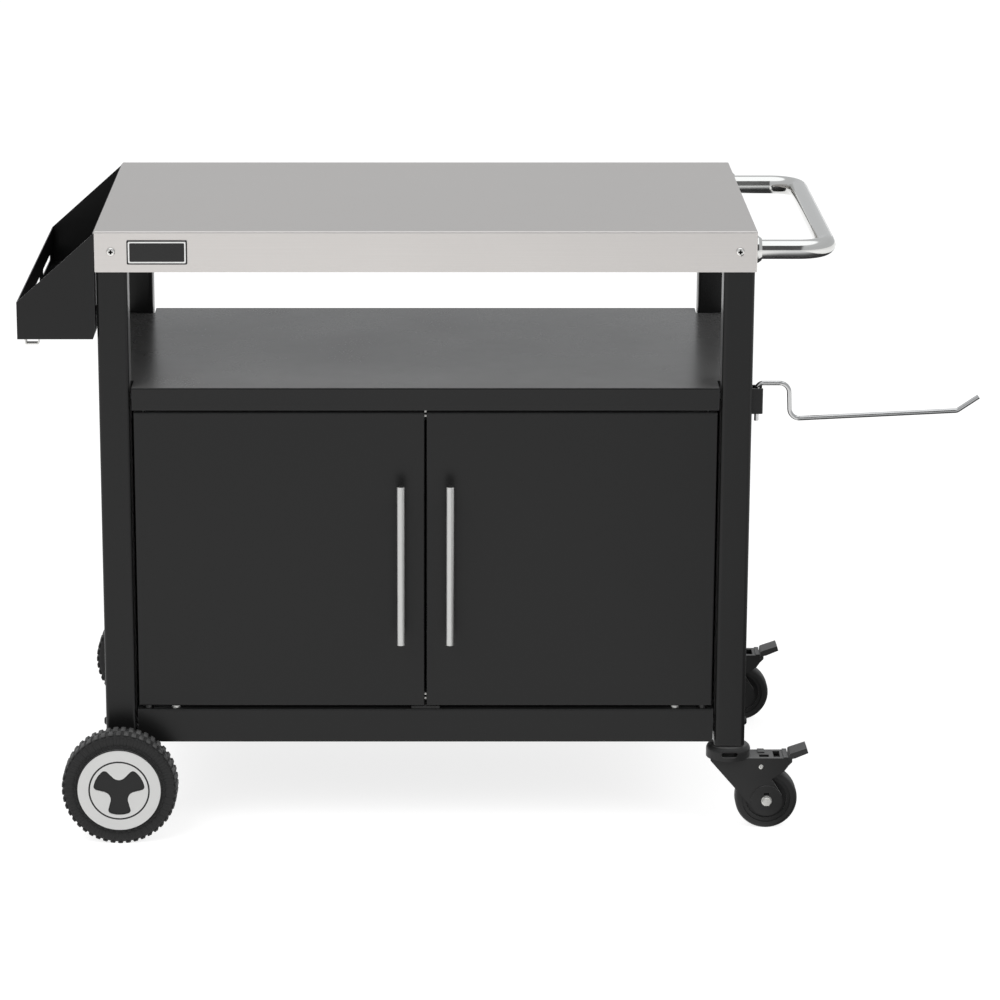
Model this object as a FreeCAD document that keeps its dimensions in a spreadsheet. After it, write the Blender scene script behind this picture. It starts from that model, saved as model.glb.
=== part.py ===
import FreeCAD, Part
import os
import re

import Sketcher
from FreeCAD import Placement, Rotation, Vector

# Grill cart with storage: a stainless top on four square legs, an open shelf, a cabinet with two
# doors, a side tray, a push handle, a swinging hook, two lugged wheels and two braked casters.
# Millimetres. +Z is up, the doors face -Y, the handle is at +X, the floor is Z = 0, and the origin
# is under the middle of the whole cart's box. Formulas are written from the cart's own middle, and
# cart_x carries each piece to its place.

SIZES = (
    ("top_height", 812.0, "floor to the worktop"),
    ("top_length", 850.0, "worktop, side to side"),
    ("top_depth", 500.0, "worktop, front to back"),
    ("top_apron", 53.0, "height of the folded edge of the worktop"),
    ("top_sheet", 1.0, "worktop sheet"),
    ("top_bend", 2.2, "rounding of the worktop's edges"),
    ("channel_length", 700.0, "stiffening channel under the worktop"),
    ("channel_width", 50.0, "crown of the channel"),
    ("channel_depth", 18.0, "depth of the channel"),
    ("channel_flange", 15.0, "welded flange on each side of the channel"),
    ("channel_spread", 110.0, "middle of the worktop to each channel"),
    ("leg_side", 40.0, "square leg tube"),
    ("leg_wall", 1.5, "leg tube wall"),
    ("leg_corner", 5.0, "outer corner radius of the leg tube"),
    ("leg_inset", 2.2, "apron face to leg face"),
    ("leg_past_axle", 24.0, "wheeled legs, below the axle"),
    ("panel_sheet", 1.2, "shelf, floor, side and back sheets"),
    ("panel_bend", 2.0, "outer radius of a folded panel edge"),
    ("lip_gap", 2.6, "shelf lip to leg"),
    ("shelf_height", 605.7, "floor to the open shelf"),
    ("shelf_lip", 29.4, "depth of the shelf's folded edge"),
    ("shelf_return", 36.0, "flange turned back under the shelf's front lip"),
    ("floor_height", 169.8, "ground to the cabinet floor"),
    ("floor_lip", 45.3, "depth of the cabinet floor's front rail"),
    ("back_inset", 10.3, "rear leg face to the shelf's back edge"),
    ("side_inset", 5.0, "leg face to side panel face"),
    ("side_flange", 12.0, "side panel flange against a leg"),
    ("door_depth", 18.0, "thickness of a door"),
    ("door_sheet", 1.0, "door sheet"),
    ("door_bend", 1.6, "outer radius of a folded door edge"),
    ("door_return", 14.0, "flange turned in behind the door"),
    ("door_side_gap", 4.5, "door to leg"),
    ("door_top_gap", 3.6, "door to shelf lip"),
    ("door_bottom_gap", 5.0, "door to cabinet floor"),
    ("door_middle_gap", 2.7, "door to door"),
    ("pivot_edge", 12.0, "hinge pin to the door's outer edge"),
    ("pivot_radius", 3.0, "hinge pin"),
    ("pivot_reach", 9.0, "hinge pin inside the door"),
    ("collar_radius", 6.0, "thrust collar under a door"),
    ("bar_diameter", 11.3, "door handle bar"),
    ("bar_length", 214.0, "door handle bar"),
    ("bar_height", 375.1, "middle of the handle bar above the ground"),
    ("bar_from_middle", 32.0, "handle bar to the cart's middle"),
    ("bar_standoff", 30.0, "door face to the bar's middle line"),
    ("post_diameter", 7.0, "post of a door handle"),
    ("post_inset", 28.0, "bar end to its post"),
    ("strike_width", 17.0, "steel strike on the back of a door"),
    ("strike_height", 22.0, "steel strike on the back of a door"),
    ("strike_sheet", 1.0, "steel strike on the back of a door"),
    ("strike_edge", 2.0, "strike to the door's edges"),
    ("catch_width", 37.2, "magnet catch"),
    ("catch_depth", 14.0, "magnet catch"),
    ("catch_height", 18.0, "magnet catch"),
    ("catch_foot", 3.0, "foot of the lower catch, under the doors"),
    ("pole_height", 3.0, "steel pole plate of a catch"),
    ("pole_sheet", 1.0, "steel pole plate of a catch"),
    ("tray_reach", 100.6, "side tray, out from the worktop"),
    ("tray_sheet", 1.2, "side tray sheet"),
    ("tray_drop", 141.0, "worktop to the underside of the tray"),
    ("tray_wall", 48.5, "outer wall of the tray"),
    ("tray_cut", 3.0, "sideways cut of the tray's lower inner corner"),
    ("tray_cut_rise", 11.0, "rise of that cut"),
    ("tray_below_top", 3.0, "worktop to the top of the tray's inner wall"),
    ("tray_slot_length", 110.0, "hanging slot in the outer wall"),
    ("tray_slot_height", 8.5, "hanging slot in the outer wall"),
    ("tray_slot_pitch", 150.0, "slot to slot"),
    ("tray_slot_rise", 15.5, "underside of the tray to the slots' middle"),
    ("tray_bolt_drop", 107.0, "worktop to the lower tray bolts"),
    ("loop_width", 20.0, "strap loop under the tray"),
    ("loop_depth", 7.5, "strap loop under the tray"),
    ("loop_strap", 1.5, "strap thickness"),
    ("loop_strap_width", 12.0, "strap width"),
    ("loop_from_side", 8.6, "outer wall to the loop"),
    ("loop_from_front", 4.0, "tray front to the loop"),
    ("tube_diameter", 25.0, "push handle tube"),
    ("tube_wall", 1.2, "push handle tube wall"),
    ("tube_reach", 93.0, "worktop edge to the crossbar's middle line"),
    ("tube_drop", 27.5, "worktop to the tube's middle line"),
    ("tube_bend", 38.0, "bend of the push handle"),
    ("flange_diameter", 35.0, "bell flange of the push handle"),
    ("flange_length", 6.5, "bell flange of the push handle"),
    ("flange_rim", 2.4, "straight rim of the bell flange"),
    ("flange_taper", 3.0, "narrowing of the bell flange"),
    ("hook_diameter", 6.0, "swinging hook rod"),
    ("hook_bend", 7.5, "bends at the rod's axis and tip"),
    ("hook_knee", 13.0, "bends of the rod's drop"),
    ("hook_offset", 7.3, "leg face to the rod's swivel axis"),
    ("hook_run_drop", 204.0, "worktop to the rod's upper run"),
    ("hook_run", 41.5, "swivel axis to the rod's drop"),
    ("hook_drop", 47.6, "upper run to the low corner"),
    ("hook_arm", 217.0, "length of the lower arm"),
    ("hook_arm_rise", 10.8, "rise of the lower arm"),
    ("hook_tip", 27.5, "length of the turned-up tip"),
    ("hook_tip_rise", 18.8, "rise of the tip"),
    ("hook_tail", 49.8, "upper run to the rod's lower end"),
    ("socket_width", 14.6, "hook socket, out from the leg"),
    ("socket_breadth", 24.0, "hook socket, front to back"),
    ("socket_height", 33.5, "hook socket"),
    ("socket_mouth", 17.0, "open width at the top of the hook socket"),
    ("wheel_diameter", 152.4, "big wheel over its lugs"),
    ("wheel_width", 34.0, "big wheel tyre"),
    ("wheel_gap", 19.0, "leg to tyre"),
    ("lug_height", 2.2, "tread lug"),
    ("lug_width", 5.4, "tread lug"),
    ("lug_count", 56.0, "lugs in each row"),
    ("lug_edge", 0.8, "lug end to the tyre's side"),
    ("lug_row_gap", 1.6, "gap between the two rows"),
    ("tyre_round", 6.0, "rounding of the tyre's shoulders"),
    ("rim_radius", 57.0, "seat of the tyre"),
    ("rim_depth", 7.0, "thickness of the rim"),
    ("rim_inset", 0.0, "rim face inside the tyre's face"),
    ("web_thickness", 6.0, "web between boss and rim"),
    ("boss_radius", 13.0, "boss of the big wheel"),
    ("axle_radius", 6.0, "axle bolt of a big wheel"),
    ("axle_head_radius", 10.0, "axle bolt head"),
    ("axle_head", 6.0, "axle bolt head height"),
    ("axle_washer", 2.0, "washer under the axle bolt head"),
    ("axle_nut", 8.0, "nut inside the leg line"),
    ("cap_radius", 55.6, "hub cap"),
    ("cap_proud", 3.5, "hub cap beyond the tyre"),
    ("cap_wall", 3.0, "hub cap wall"),
    ("trim_radius", 54.6, "bright trim disc"),
    ("trim_sheet", 2.0, "bright trim disc"),
    ("trim_line_radius", 39.3, "ring groove of the trim disc"),
    ("trim_line_width", 2.2, "ring groove of the trim disc"),
    ("trim_line_depth", 0.8, "ring groove of the trim disc"),
    ("lobe_reach", 34.0, "opening of the trim disc, lobe end"),
    ("saddle_radius", 10.5, "round between two lobes"),
    ("saddle_reach", 14.7, "middle to the round between two lobes"),
    ("lobe_corner", 5.0, "corner of a lobe"),
    ("caster_head", 37.1, "caster wheel's top to the leg"),
    ("caster_trail", 51.3, "swivel axis to caster axle"),
    ("caster_diameter", 82.5, "caster wheel"),
    ("caster_width", 24.0, "caster tyre"),
    ("caster_tread", 9.0, "caster tyre thickness"),
    ("caster_round", 5.0, "rounding of the caster tyre"),
    ("caster_hub_width", 26.4, "boss of the caster wheel"),
    ("caster_hub_radius", 10.0, "boss of the caster wheel"),
    ("caster_web", 15.0, "web of the caster wheel"),
    ("caster_rim", 5.0, "rim of the caster wheel"),
    ("caster_rim_width", 21.0, "rim of the caster wheel"),
    ("caster_axle_radius", 4.0, "caster axle bolt"),
    ("caster_bolt_radius", 6.75, "heads of the caster axle bolt"),
    ("caster_bolt_head", 5.0, "heads of the caster axle bolt"),
    ("fork_cheek", 5.0, "cheek of the fork"),
    ("fork_end_radius", 21.0, "fork end round the axle"),
    ("fork_eye_proud", 1.2, "round end of the fork, proud of the cheek"),
    ("fork_slot", 3.9, "height of the slot over the axle bolt's head"),
    ("fork_rib", 1.4, "ribs on the bridge"),
    ("fork_bridge", 4.0, "bridge over the wheel"),
    ("fork_bridge_drop", 19.1, "leg to the top of the bridge"),
    ("fork_reach", 79.0, "swivel axis to the fork's far end"),
    ("fork_cusp_rise", 0.2, "fork's far corner below the wheel's top"),
    ("dome_radius", 29.3, "swivel dome of the fork"),
    ("dome_round", 7.0, "rounding of the dome's shoulder"),
    ("mouth_width", 22.0, "opening in the dome, front and back"),
    ("mouth_height", 7.0, "opening in the dome, front and back"),
    ("mouth_drop", 8.5, "dome's top to the middle of that opening"),
    ("dome_depth", 17.3, "height of the dome"),
    ("dome_wall", 3.5, "dome wall"),
    ("stem_radius", 5.0, "caster stem"),
    ("stem_length", 20.0, "caster stem in its socket"),
    ("stem_washer", 2.0, "swivel washer over the fork"),
    ("stem_washer_radius", 14.0, "swivel washer over the fork"),
    ("stem_head", 4.5, "riveted end under the dome"),
    ("stem_head_radius", 9.0, "riveted end under the dome"),
    ("insert_collar", 1.0, "collar of a leg insert"),
    ("insert_length", 22.0, "leg insert"),
    ("pedal_pivot", 43.0, "swivel axis to the pedal's pin"),
    ("pedal_pivot_rise", 6.0, "wheel's top to the pedal's pin"),
    ("pedal_pin_radius", 2.0, "pedal pin"),
    ("pedal_pin_head", 3.35, "pedal pin's head"),
    ("pedal_pin_cap", 1.2, "pedal pin's head height"),
    ("pedal_boss", 4.8, "round end of the pedal"),
    ("pedal_shoe", 3.0, "pin to the brake shoe's face"),
    ("pedal_tongue", 23.0, "length of the pedal's tongue"),
    ("pedal_tongue_lift", 4.3, "pedal's boss to the underside of the tongue"),
    ("pedal_tongue_rise", 9.0, "rise of the tongue"),
    ("pedal_tongue_sheet", 6.5, "thickness of the tongue"),
    ("pedal_breadth", 30.0, "breadth of the tongue"),
    ("screw_radius", 2.2, "sheet metal screw"),
    ("screw_length", 12.0, "sheet metal screw"),
    ("screw_head_radius", 5.3, "pan head"),
    ("screw_head", 2.8, "pan head"),
    ("floor_screw_x", 330.0, "cart's middle to the floor screws"),
    ("floor_screw_head", 4.0, "head of a floor screw, tall enough to guide the door"),
    ("floor_screw_head_radius", 5.8, "head of a floor screw"),
    ("bolt_radius", 3.0, "frame bolt"),
    ("bolt_head_radius", 6.0, "frame bolt head"),
    ("bolt_head", 3.0, "frame bolt head"),
    ("bolt_length", 12.0, "frame bolt inside a leg"),
    ("bolt_dome", 1.6, "domed end of a floor bolt outside the leg"),
    ("tube_bolt_radius", 4.0, "bolt of the push handle"),
    ("tube_bolt_head", 5.0, "bolt head of the push handle"),
    ("tube_bolt_head_radius", 8.0, "bolt head of the push handle"),
    ("tube_plug", 14.0, "threaded plug inside the push handle"),
    ("hole_clearance", 0.2, "bolt or screw in its hole"),
    ("fixed_clearance", 0.05, "pieces pressed together on a round face"),
    ("running_clearance", 0.05, "pin in a hole that turns on it"),
    ("working_gap", 0.3, "face to face where something turns"),
)

LAYOUT = (
    ("leg_x", "top_length / 2 - leg_inset - leg_side / 2"),
    ("leg_y", "top_depth / 2 - leg_inset - leg_side / 2"),
    ("leg_inner", "leg_x - leg_side / 2"),
    ("leg_outer", "leg_x + leg_side / 2"),
    ("leg_front", "leg_y + leg_side / 2"),
    ("leg_back", "leg_y - leg_side / 2"),
    ("leg_top", "top_height - top_sheet"),
    ("hook_x", "leg_outer + hook_offset"),
    ("hook_length", "hook_run + hook_arm + hook_tip + 2"),
    ("hook_tip_slant", "hook_tip_rise / sqrt(hook_tip ^ 2 + hook_tip_rise ^ 2)"),
    ("right_reach", "hook_x + hook_length + hook_diameter / 2 * hook_tip_slant"),
    ("tray_x", "top_length / 2 + tray_reach"),
    ("cart_x", "(tray_x - right_reach) / 2"),
    ("apron_bottom", "top_height - top_apron"),
    ("lip_x", "leg_inner - lip_gap"),
    ("wide_x", "leg_outer - side_inset - panel_sheet"),
    ("notch_y", "leg_back - lip_gap"),
    ("shelf_back", "leg_front - back_inset"),
    ("shelf_bottom", "shelf_height - shelf_lip"),
    ("floor_bottom", "floor_height - floor_lip"),
    ("door_outer", "leg_inner - door_side_gap"),
    ("door_inner", "door_middle_gap / 2"),
    ("door_top", "shelf_bottom - door_top_gap"),
    ("door_bottom", "floor_height + door_bottom_gap"),
    ("door_back", "leg_front - door_depth"),
    ("pivot_x", "door_outer - pivot_edge"),
    ("pivot_y", "leg_front - door_depth / 2"),
    ("bar_y", "leg_front + bar_standoff"),
    ("catch_front", "door_back - strike_sheet - working_gap - pole_sheet"),
    ("tray_bottom", "top_height - tray_drop"),
    ("tray_end", "top_depth / 2 - tray_sheet"),
    ("tray_lip", "tray_bottom + tray_wall"),
    ("tube_x", "top_length / 2 + tube_reach"),
    ("tube_z", "top_height - tube_drop"),
    ("tube_radius", "tube_diameter / 2"),
    ("hook_run_z", "top_height - hook_run_drop"),
    ("hook_radius", "hook_diameter / 2"),
    ("socket_top", "hook_run_z - hook_radius - 2"),
    ("socket_seat", "hook_run_z - hook_bend - 3"),
    ("wheel_radius", "wheel_diameter / 2"),
    ("wheel_y", "leg_front + wheel_gap"),
    ("tread_radius", "wheel_radius - lug_height"),
    ("rim_face", "wheel_width - rim_inset"),
    ("web_low", "wheel_width / 2 - web_thickness / 2"),
    ("cap_face", "wheel_width + cap_proud"),
    ("boss_face", "cap_face - cap_wall - axle_head - axle_washer - 3 * working_gap"),
    ("caster_radius", "caster_diameter / 2"),
    ("caster_height", "caster_diameter + caster_head"),
    ("fork_inner", "caster_hub_width / 2 + working_gap"),
    ("fork_outer", "fork_inner + fork_cheek"),
    ("fork_face", "fork_outer + fork_eye_proud"),
    ("bridge_top", "caster_height - fork_bridge_drop"),
    ("bridge_bottom", "bridge_top - fork_bridge"),
    ("dome_top", "caster_height - insert_collar - stem_washer - working_gap"),
    ("dome_bottom", "dome_top - dome_depth"),
    ("flank_x", "dome_radius - fork_cheek"),
    ("flank_z", "dome_bottom - 2"),
    ("flank_span", "sqrt((caster_trail + flank_x) ^ 2 + (flank_z - caster_radius) ^ 2)"),
    ("flank_angle", "atan((flank_z - caster_radius) / (caster_trail + flank_x))"
                    " + asin(fork_end_radius / flank_span)"),
    ("flank_length", "sqrt(flank_span ^ 2 - fork_end_radius ^ 2)"),
    ("pedal_z", "caster_diameter + pedal_pivot_rise"),
    ("pedal_under", "pedal_z - pedal_shoe"),
    ("pedal_over", "pedal_z + pedal_boss"),
    ("pedal_neck", "fork_reach + 4 * working_gap"),
    ("shelf_bolt_z", "shelf_height - shelf_lip / 2"),
    ("floor_bolt_z", "floor_height - floor_lip / 2"),
    ("tray_bolt_z", "top_height - tray_bolt_drop"),
    ("top_screw_z", "top_height - top_apron / 2"),
    ("insert_side", "leg_side - 2 * leg_wall - 2 * fixed_clearance"),
)

UP = Vector(0, 0, 1)
RIGHT = Vector(1, 0, 0)
BACK = Vector(0, 1, 0)
UPRIGHT = Rotation()
AXLE_FRONT = Rotation(RIGHT, 90)
AXLE_REAR = Rotation(UP, 180) * Rotation(RIGHT, 90)
ENDS = (("front", -1), ("rear", 1))
SIDES = (("left", -1), ("right", 1))
THROUGH = "top_length"

doc = FreeCAD.newDocument("GrillCart")
owner = {}
nodes = []


def fill_sheet(name, cells):
    """Write one cell for each named value, and give the cell that name."""
    sheet = doc.addObject("Spreadsheet::Sheet", name)
    for row, (alias, content) in enumerate(cells, 1):
        sheet.set(f"A{row}", alias)
        sheet.set(f"B{row}", content)
        sheet.setAlias(f"B{row}", alias)
        owner[alias] = name
    doc.recompute()
    return sheet


def link(formula):
    """Point each named value in a formula at the sheet that holds it."""
    return re.sub(r"[A-Za-z_]\w*",
                  lambda word: f"{owner[word[0]]}.{word[0]}" if word[0] in owner else word[0],
                  formula)


def number(formula):
    """Work a formula out as a plain number."""
    result = sizes.evalExpression(link(formula))
    return float(getattr(result, "Value", result))


def bind(item, **formulas):
    """Bind properties of an object to formulas; a double underscore stands for a dot."""
    for name, formula in formulas.items():
        item.setExpression(name.replace("__", "."), link(formula))


def place(item, x="0", y="0", z="0", turn=UPRIGHT):
    """Put an object at a place given from the cart's own middle."""
    item.Placement = Placement(Vector(), turn)
    bind(item, Placement__Base__x=f"cart_x + {x}", Placement__Base__y=y, Placement__Base__z=z)
    return item


def node(item):
    """List an object as a piece of the cart."""
    nodes.append(item)
    return item


def new_body(label, x="0", y="0", z="0", turn=UPRIGHT):
    return place(doc.addObject("PartDesign::Body", label), x, y, z, turn)


def new_sketch(body, name, plane, offset="0"):
    """Attach a sketch to one of the body's own planes, moved out along its normal."""
    sketch = body.newObject("Sketcher::SketchObject", name)
    origin_plane = next(each for each in body.Origin.OriginFeatures if each.Role == plane + "_Plane")
    sketch.AttachmentSupport = [(origin_plane, "")]
    sketch.MapMode = "FlatFace"
    bind(sketch, AttachmentOffset__Base__z=offset)
    return sketch


def pin_point(sketch, line, end, across, up):
    """Hold one end of a line at two formulas, measured from the sketch's origin."""
    for kind, formula in (("DistanceX", across), ("DistanceY", up)):
        index = sketch.addConstraint(
            Sketcher.Constraint(kind, -1, 1, line, end, number(formula)))
        sketch.setExpression(f"Constraints[{index}]", link(formula))


def add_lines(sketch, points, closed=True):
    """Draw straight lines through points given as pairs of formulas."""
    first = sketch.GeometryCount
    spots = [Vector(number(across), number(up), 0) for across, up in points]
    ends = spots[1:] + spots[:1] if closed else spots[1:]
    for start, end in zip(spots, ends):
        sketch.addGeometry(Part.LineSegment(start, end), False)
    count = len(ends)
    for index in range(count if closed else count - 1):
        sketch.addConstraint(Sketcher.Constraint(
            "Coincident", first + index, 2, first + (index + 1) % count, 1))
    for index, (across, up) in enumerate(points):
        line, end = (index, 1) if index < count else (index - 1, 2)
        pin_point(sketch, first + line, end, across, up)


def add_rectangle(sketch, low_across, high_across, low_up, high_up):
    add_lines(sketch, ((low_across, low_up), (high_across, low_up),
                       (high_across, high_up), (low_across, high_up)))


def add_circle(sketch, across, up, radius):
    centre = Vector(number(across), number(up), 0)
    circle = sketch.addGeometry(Part.Circle(centre, UP, number(radius)), False)
    index = sketch.addConstraint(Sketcher.Constraint("Radius", circle, number(radius)))
    sketch.setExpression(f"Constraints[{index}]", link(radius))
    pin_point(sketch, circle, 3, across, up)


def round_corner(sketch, line, radius):
    """Round the corner between one line and the next, and keep the corner's own place."""
    at_start = sketch.getPoint(line, 1)
    at_end = sketch.getPoint(line + 1, 2)
    sketch.fillet(line, line + 1, at_start, at_end, number(radius), True, True)
    arc = max(index for index in range(sketch.GeometryCount)
              if isinstance(sketch.Geometry[index], Part.ArcOfCircle))
    index = sketch.addConstraint(Sketcher.Constraint("Radius", arc, number(radius)))
    sketch.setExpression(f"Constraints[{index}]", link(radius))


def sketched(body, name, plane, offset, outline):
    """One sketch with one closed outline of straight lines."""
    sketch = new_sketch(body, name, plane, offset)
    add_lines(sketch, outline)
    return sketch


def pad(body, sketch, length, both_ways=False):
    feature = body.newObject("PartDesign::Pad", sketch.Name + "_pad")
    feature.Profile = sketch
    feature.SideType = "Symmetric" if both_ways else "One side"
    bind(feature, Length=length)
    sketch.Visibility = False
    doc.recompute()
    return feature


def pocket(body, sketch, length=THROUGH, both_ways=True, reverse=False):
    """Cut a sketch into the body, and make sure that it cuts something."""
    before = body.Shape.Volume
    feature = body.newObject("PartDesign::Pocket", sketch.Name + "_pocket")
    feature.Profile = sketch
    feature.SideType = "Symmetric" if both_ways else "One side"
    feature.Reversed = reverse
    bind(feature, Length=length)
    doc.recompute()
    if body.Shape.Volume > before - 0.01:
        raise ValueError(f"{feature.Name} in {body.Label} cuts nothing")
    return feature


def revolve(body, outline, plane="XZ", axis="V_Axis", name="profile"):
    """Turn a closed outline a full turn about an axis of its sketch."""
    sketch = sketched(body, f"{body.Name}_{name}", plane, "0", outline)
    feature = body.newObject("PartDesign::Revolution", sketch.Name + "_turned")
    feature.Profile = sketch
    feature.ReferenceAxis = (sketch, [axis])
    doc.recompute()
    return feature


def drill(body, plane, places, radius, offset="0", length=THROUGH, both_ways=True, reverse=False,
          name="holes"):
    """Cut round holes through a body, square to one of its planes."""
    sketch = new_sketch(body, f"{body.Name}_{name}", plane, offset)
    for across, up in places:
        add_circle(sketch, across, up, radius)
    return pocket(body, sketch, length, both_ways, reverse)


def straight_edges(feature, direction, wanted=lambda middle: True):
    """Names of the straight edges that run along a direction, where their middle is wanted."""
    names = []
    for index, edge in enumerate(feature.Shape.Edges, 1):
        if isinstance(edge.Curve, Part.Line) and abs(edge.Curve.Direction.dot(direction)) > 0.999:
            if wanted(edge.CenterOfMass):
                names.append(f"Edge{index}")
    return names


def face_towards(feature, direction):
    """Name of the flat face that lies furthest along a direction."""
    flat = [(face.CenterOfMass.dot(direction), f"Face{index}")
            for index, face in enumerate(feature.Shape.Faces, 1)
            if isinstance(face.Surface, Part.Plane)
            and abs(face.Surface.Axis.dot(direction)) > 0.999]
    return max(flat)[1]


def fillet(body, base, edges, radius, name="rounding"):
    feature = body.newObject("PartDesign::Fillet", f"{body.Name}_{name}")
    feature.Base = (base, edges)
    bind(feature, Radius=radius)
    doc.recompute()
    return feature


def hollow(body, base, open_faces, wall):
    """Leave a wall of sheet inside the outer shape, open at the named faces."""
    feature = body.newObject("PartDesign::Thickness", f"{body.Name}_wall")
    feature.Base = (base, open_faces)
    feature.Reversed = True
    feature.Join = 0
    bind(feature, Value=wall)
    doc.recompute()
    return feature


def pattern_round(body, feature, count, name):
    """Repeat a feature evenly round the body's own Z axis."""
    repeat = body.newObject("PartDesign::PolarPattern", f"{body.Name}_{name}")
    repeat.Originals = [feature]
    axis = next(each for each in body.Origin.OriginFeatures if each.Role == "Z_Axis")
    repeat.Axis = (axis, [""])
    repeat.Angle = 360
    bind(repeat, Occurrences=count)
    body.Tip = repeat
    doc.recompute()
    return repeat


def box(label, low, high):
    """A block between two corners, each given as three formulas."""
    block = doc.addObject("Part::Box", label)
    for name, start, end in zip(("Length", "Width", "Height"), low, high):
        bind(block, **{name: f"({end}) - ({start})"})
    return place(block, f"({low[0]})", low[1], low[2])


def mirrored(source, label, normal):
    """The piece's mirror image on the other side of the cart's middle."""
    image = doc.addObject("Part::Mirroring", label)
    image.Source = source
    image.Normal = normal
    bind(image, Base__x="cart_x")
    return image


def group(label, pieces):
    """Separate solids that share one node."""
    compound = doc.addObject("Part::Compound", label)
    compound.Links = pieces
    return compound


def turned_piece(label, outline, x, y, z, turn):
    """A fastener or other round piece, with its own axis along its own Z."""
    body = new_body(label, x, y, z, turn)
    revolve(body, outline)
    return body


def table_top():
    """Folded stainless pan that drops over the tops of the legs."""
    body = new_body("table_top")
    block = new_sketch(body, "top_plan", "XY", "apron_bottom")
    add_rectangle(block, "-top_length / 2", "top_length / 2", "-top_depth / 2", "top_depth / 2")
    feature = pad(body, block, "top_apron")
    corners = straight_edges(feature, UP)
    feature = fillet(body, feature, corners, "top_bend", "corners")
    rim = [f"Edge{index}" for index, edge in enumerate(feature.Shape.Edges, 1)
           if edge.BoundBox.ZMin > number("top_height") - 0.01]
    feature = fillet(body, feature, rim, "top_bend", "rim")
    hollow(body, feature, [face_towards(feature, -UP)], "top_sheet")
    screw_hole = "screw_radius + hole_clearance"
    drill(body, "XZ", (("-leg_x", "top_screw_z"), ("leg_x", "top_screw_z")), screw_hole,
          name="screw_holes")
    drill(body, "YZ", (("-leg_y", "tube_z"), ("leg_y", "tube_z")),
          "tube_bolt_radius + hole_clearance", both_ways=False, reverse=True, name="handle_holes")
    drill(body, "YZ", (("-leg_y", "top_screw_z"), ("leg_y", "top_screw_z")),
          "bolt_radius + hole_clearance", both_ways=False, name="tray_holes")
    node(body)


def top_channels():
    """Two hat channels welded under the worktop."""
    for end, side in ENDS:
        body = new_body(f"top_channel_{end}", y=f"{side} * channel_spread", z="leg_top")
        half = "channel_width / 2"
        lower = "top_sheet - channel_depth"
        outline = ((f"-{half} - channel_flange", "-top_sheet"), (f"-{half} - channel_flange", "0"),
                   (f"-{half} + top_sheet", "0"), (f"-{half} + top_sheet", lower),
                   (f"{half} - top_sheet", lower), (f"{half} - top_sheet", "0"),
                   (f"{half} + channel_flange", "0"), (f"{half} + channel_flange", "-top_sheet"),
                   (half, "-top_sheet"), (half, "-channel_depth"),
                   (f"-{half}", "-channel_depth"), (f"-{half}", "-top_sheet"))
        sketch = sketched(body, f"channel_profile_{end}", "YZ", "0", outline)
        pad(body, sketch, "channel_length", both_ways=True)
        node(body)


def leg(side_name, side, end_name, end):
    """Square tube, drilled for what is fastened to it."""
    bottom = "wheel_radius - leg_past_axle" if side < 0 else "caster_height"
    body = new_body(f"leg_{end_name}_{side_name}", f"({side} * leg_x)", f"{end} * leg_y")
    plan = new_sketch(body, f"leg_plan_{end_name}_{side_name}", "XY", bottom)
    half = "leg_side / 2"
    add_rectangle(plan, f"-{half}", half, f"-{half}", half)
    feature = pad(body, plan, f"leg_top - ({bottom})")
    feature = fillet(body, feature, straight_edges(feature, UP), "leg_corner", "corners")
    ends = [face_towards(feature, UP), face_towards(feature, -UP)]
    hollow(body, feature, ends, "leg_wall")
    inward = side < 0
    drill(body, "YZ", (("0", "shelf_bolt_z"),), "bolt_radius + hole_clearance", length=half,
          both_ways=False, reverse=inward, name="shelf_hole")
    drill(body, "YZ", (("0", "floor_bolt_z"),), "bolt_radius + hole_clearance",
          name="floor_hole")
    drill(body, "XZ", (("0", "top_screw_z"),), "screw_radius + hole_clearance",
          length=half, both_ways=False, reverse=end < 0, name="top_hole")
    if side < 0:
        drill(body, "XZ", (("0", "wheel_radius"),), "axle_radius + hole_clearance",
              name="axle_hole")
        drill(body, "YZ", (("0", "tray_bolt_z"), ("0", "top_screw_z")),
              "bolt_radius + hole_clearance", length=half, both_ways=False, name="tray_holes")
    else:
        drill(body, "YZ", (("0", "tube_z"),), "tube_bolt_radius + hole_clearance",
              name="handle_hole")
    node(body)


def shelf_plan():
    """Outline shared by the open shelf and the cabinet floor, notched round the legs."""
    return (("-lip_x", "-leg_front"), ("lip_x", "-leg_front"), ("lip_x", "-notch_y"),
            ("wide_x", "-notch_y"), ("wide_x", "notch_y"), ("lip_x", "notch_y"),
            ("lip_x", "shelf_back"), ("-lip_x", "shelf_back"), ("-lip_x", "notch_y"),
            ("-wide_x", "notch_y"), ("-wide_x", "-notch_y"), ("-lip_x", "-notch_y"))


def folded_deck(label, top, lip, bolt_z):
    """A deck with its edges folded down, and bolt holes at the four notches."""
    body = new_body(label)
    plan = sketched(body, f"{label}_plan", "XY", f"{top} - {lip}", shelf_plan())
    feature = pad(body, plan, lip)
    height = number(top)
    front = number("-leg_front")
    edges = straight_edges(feature, RIGHT, lambda middle: middle.z > height - 0.01
                           and middle.y < front + 0.01)
    feature = fillet(body, feature, edges, "panel_bend", "front_fold")
    hollow(body, feature, [face_towards(feature, -UP)], "panel_sheet")
    drill(body, "YZ", (("-leg_y", bolt_z), ("leg_y", bolt_z)), "bolt_radius + hole_clearance",
          name="bolt_holes")
    return body


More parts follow.
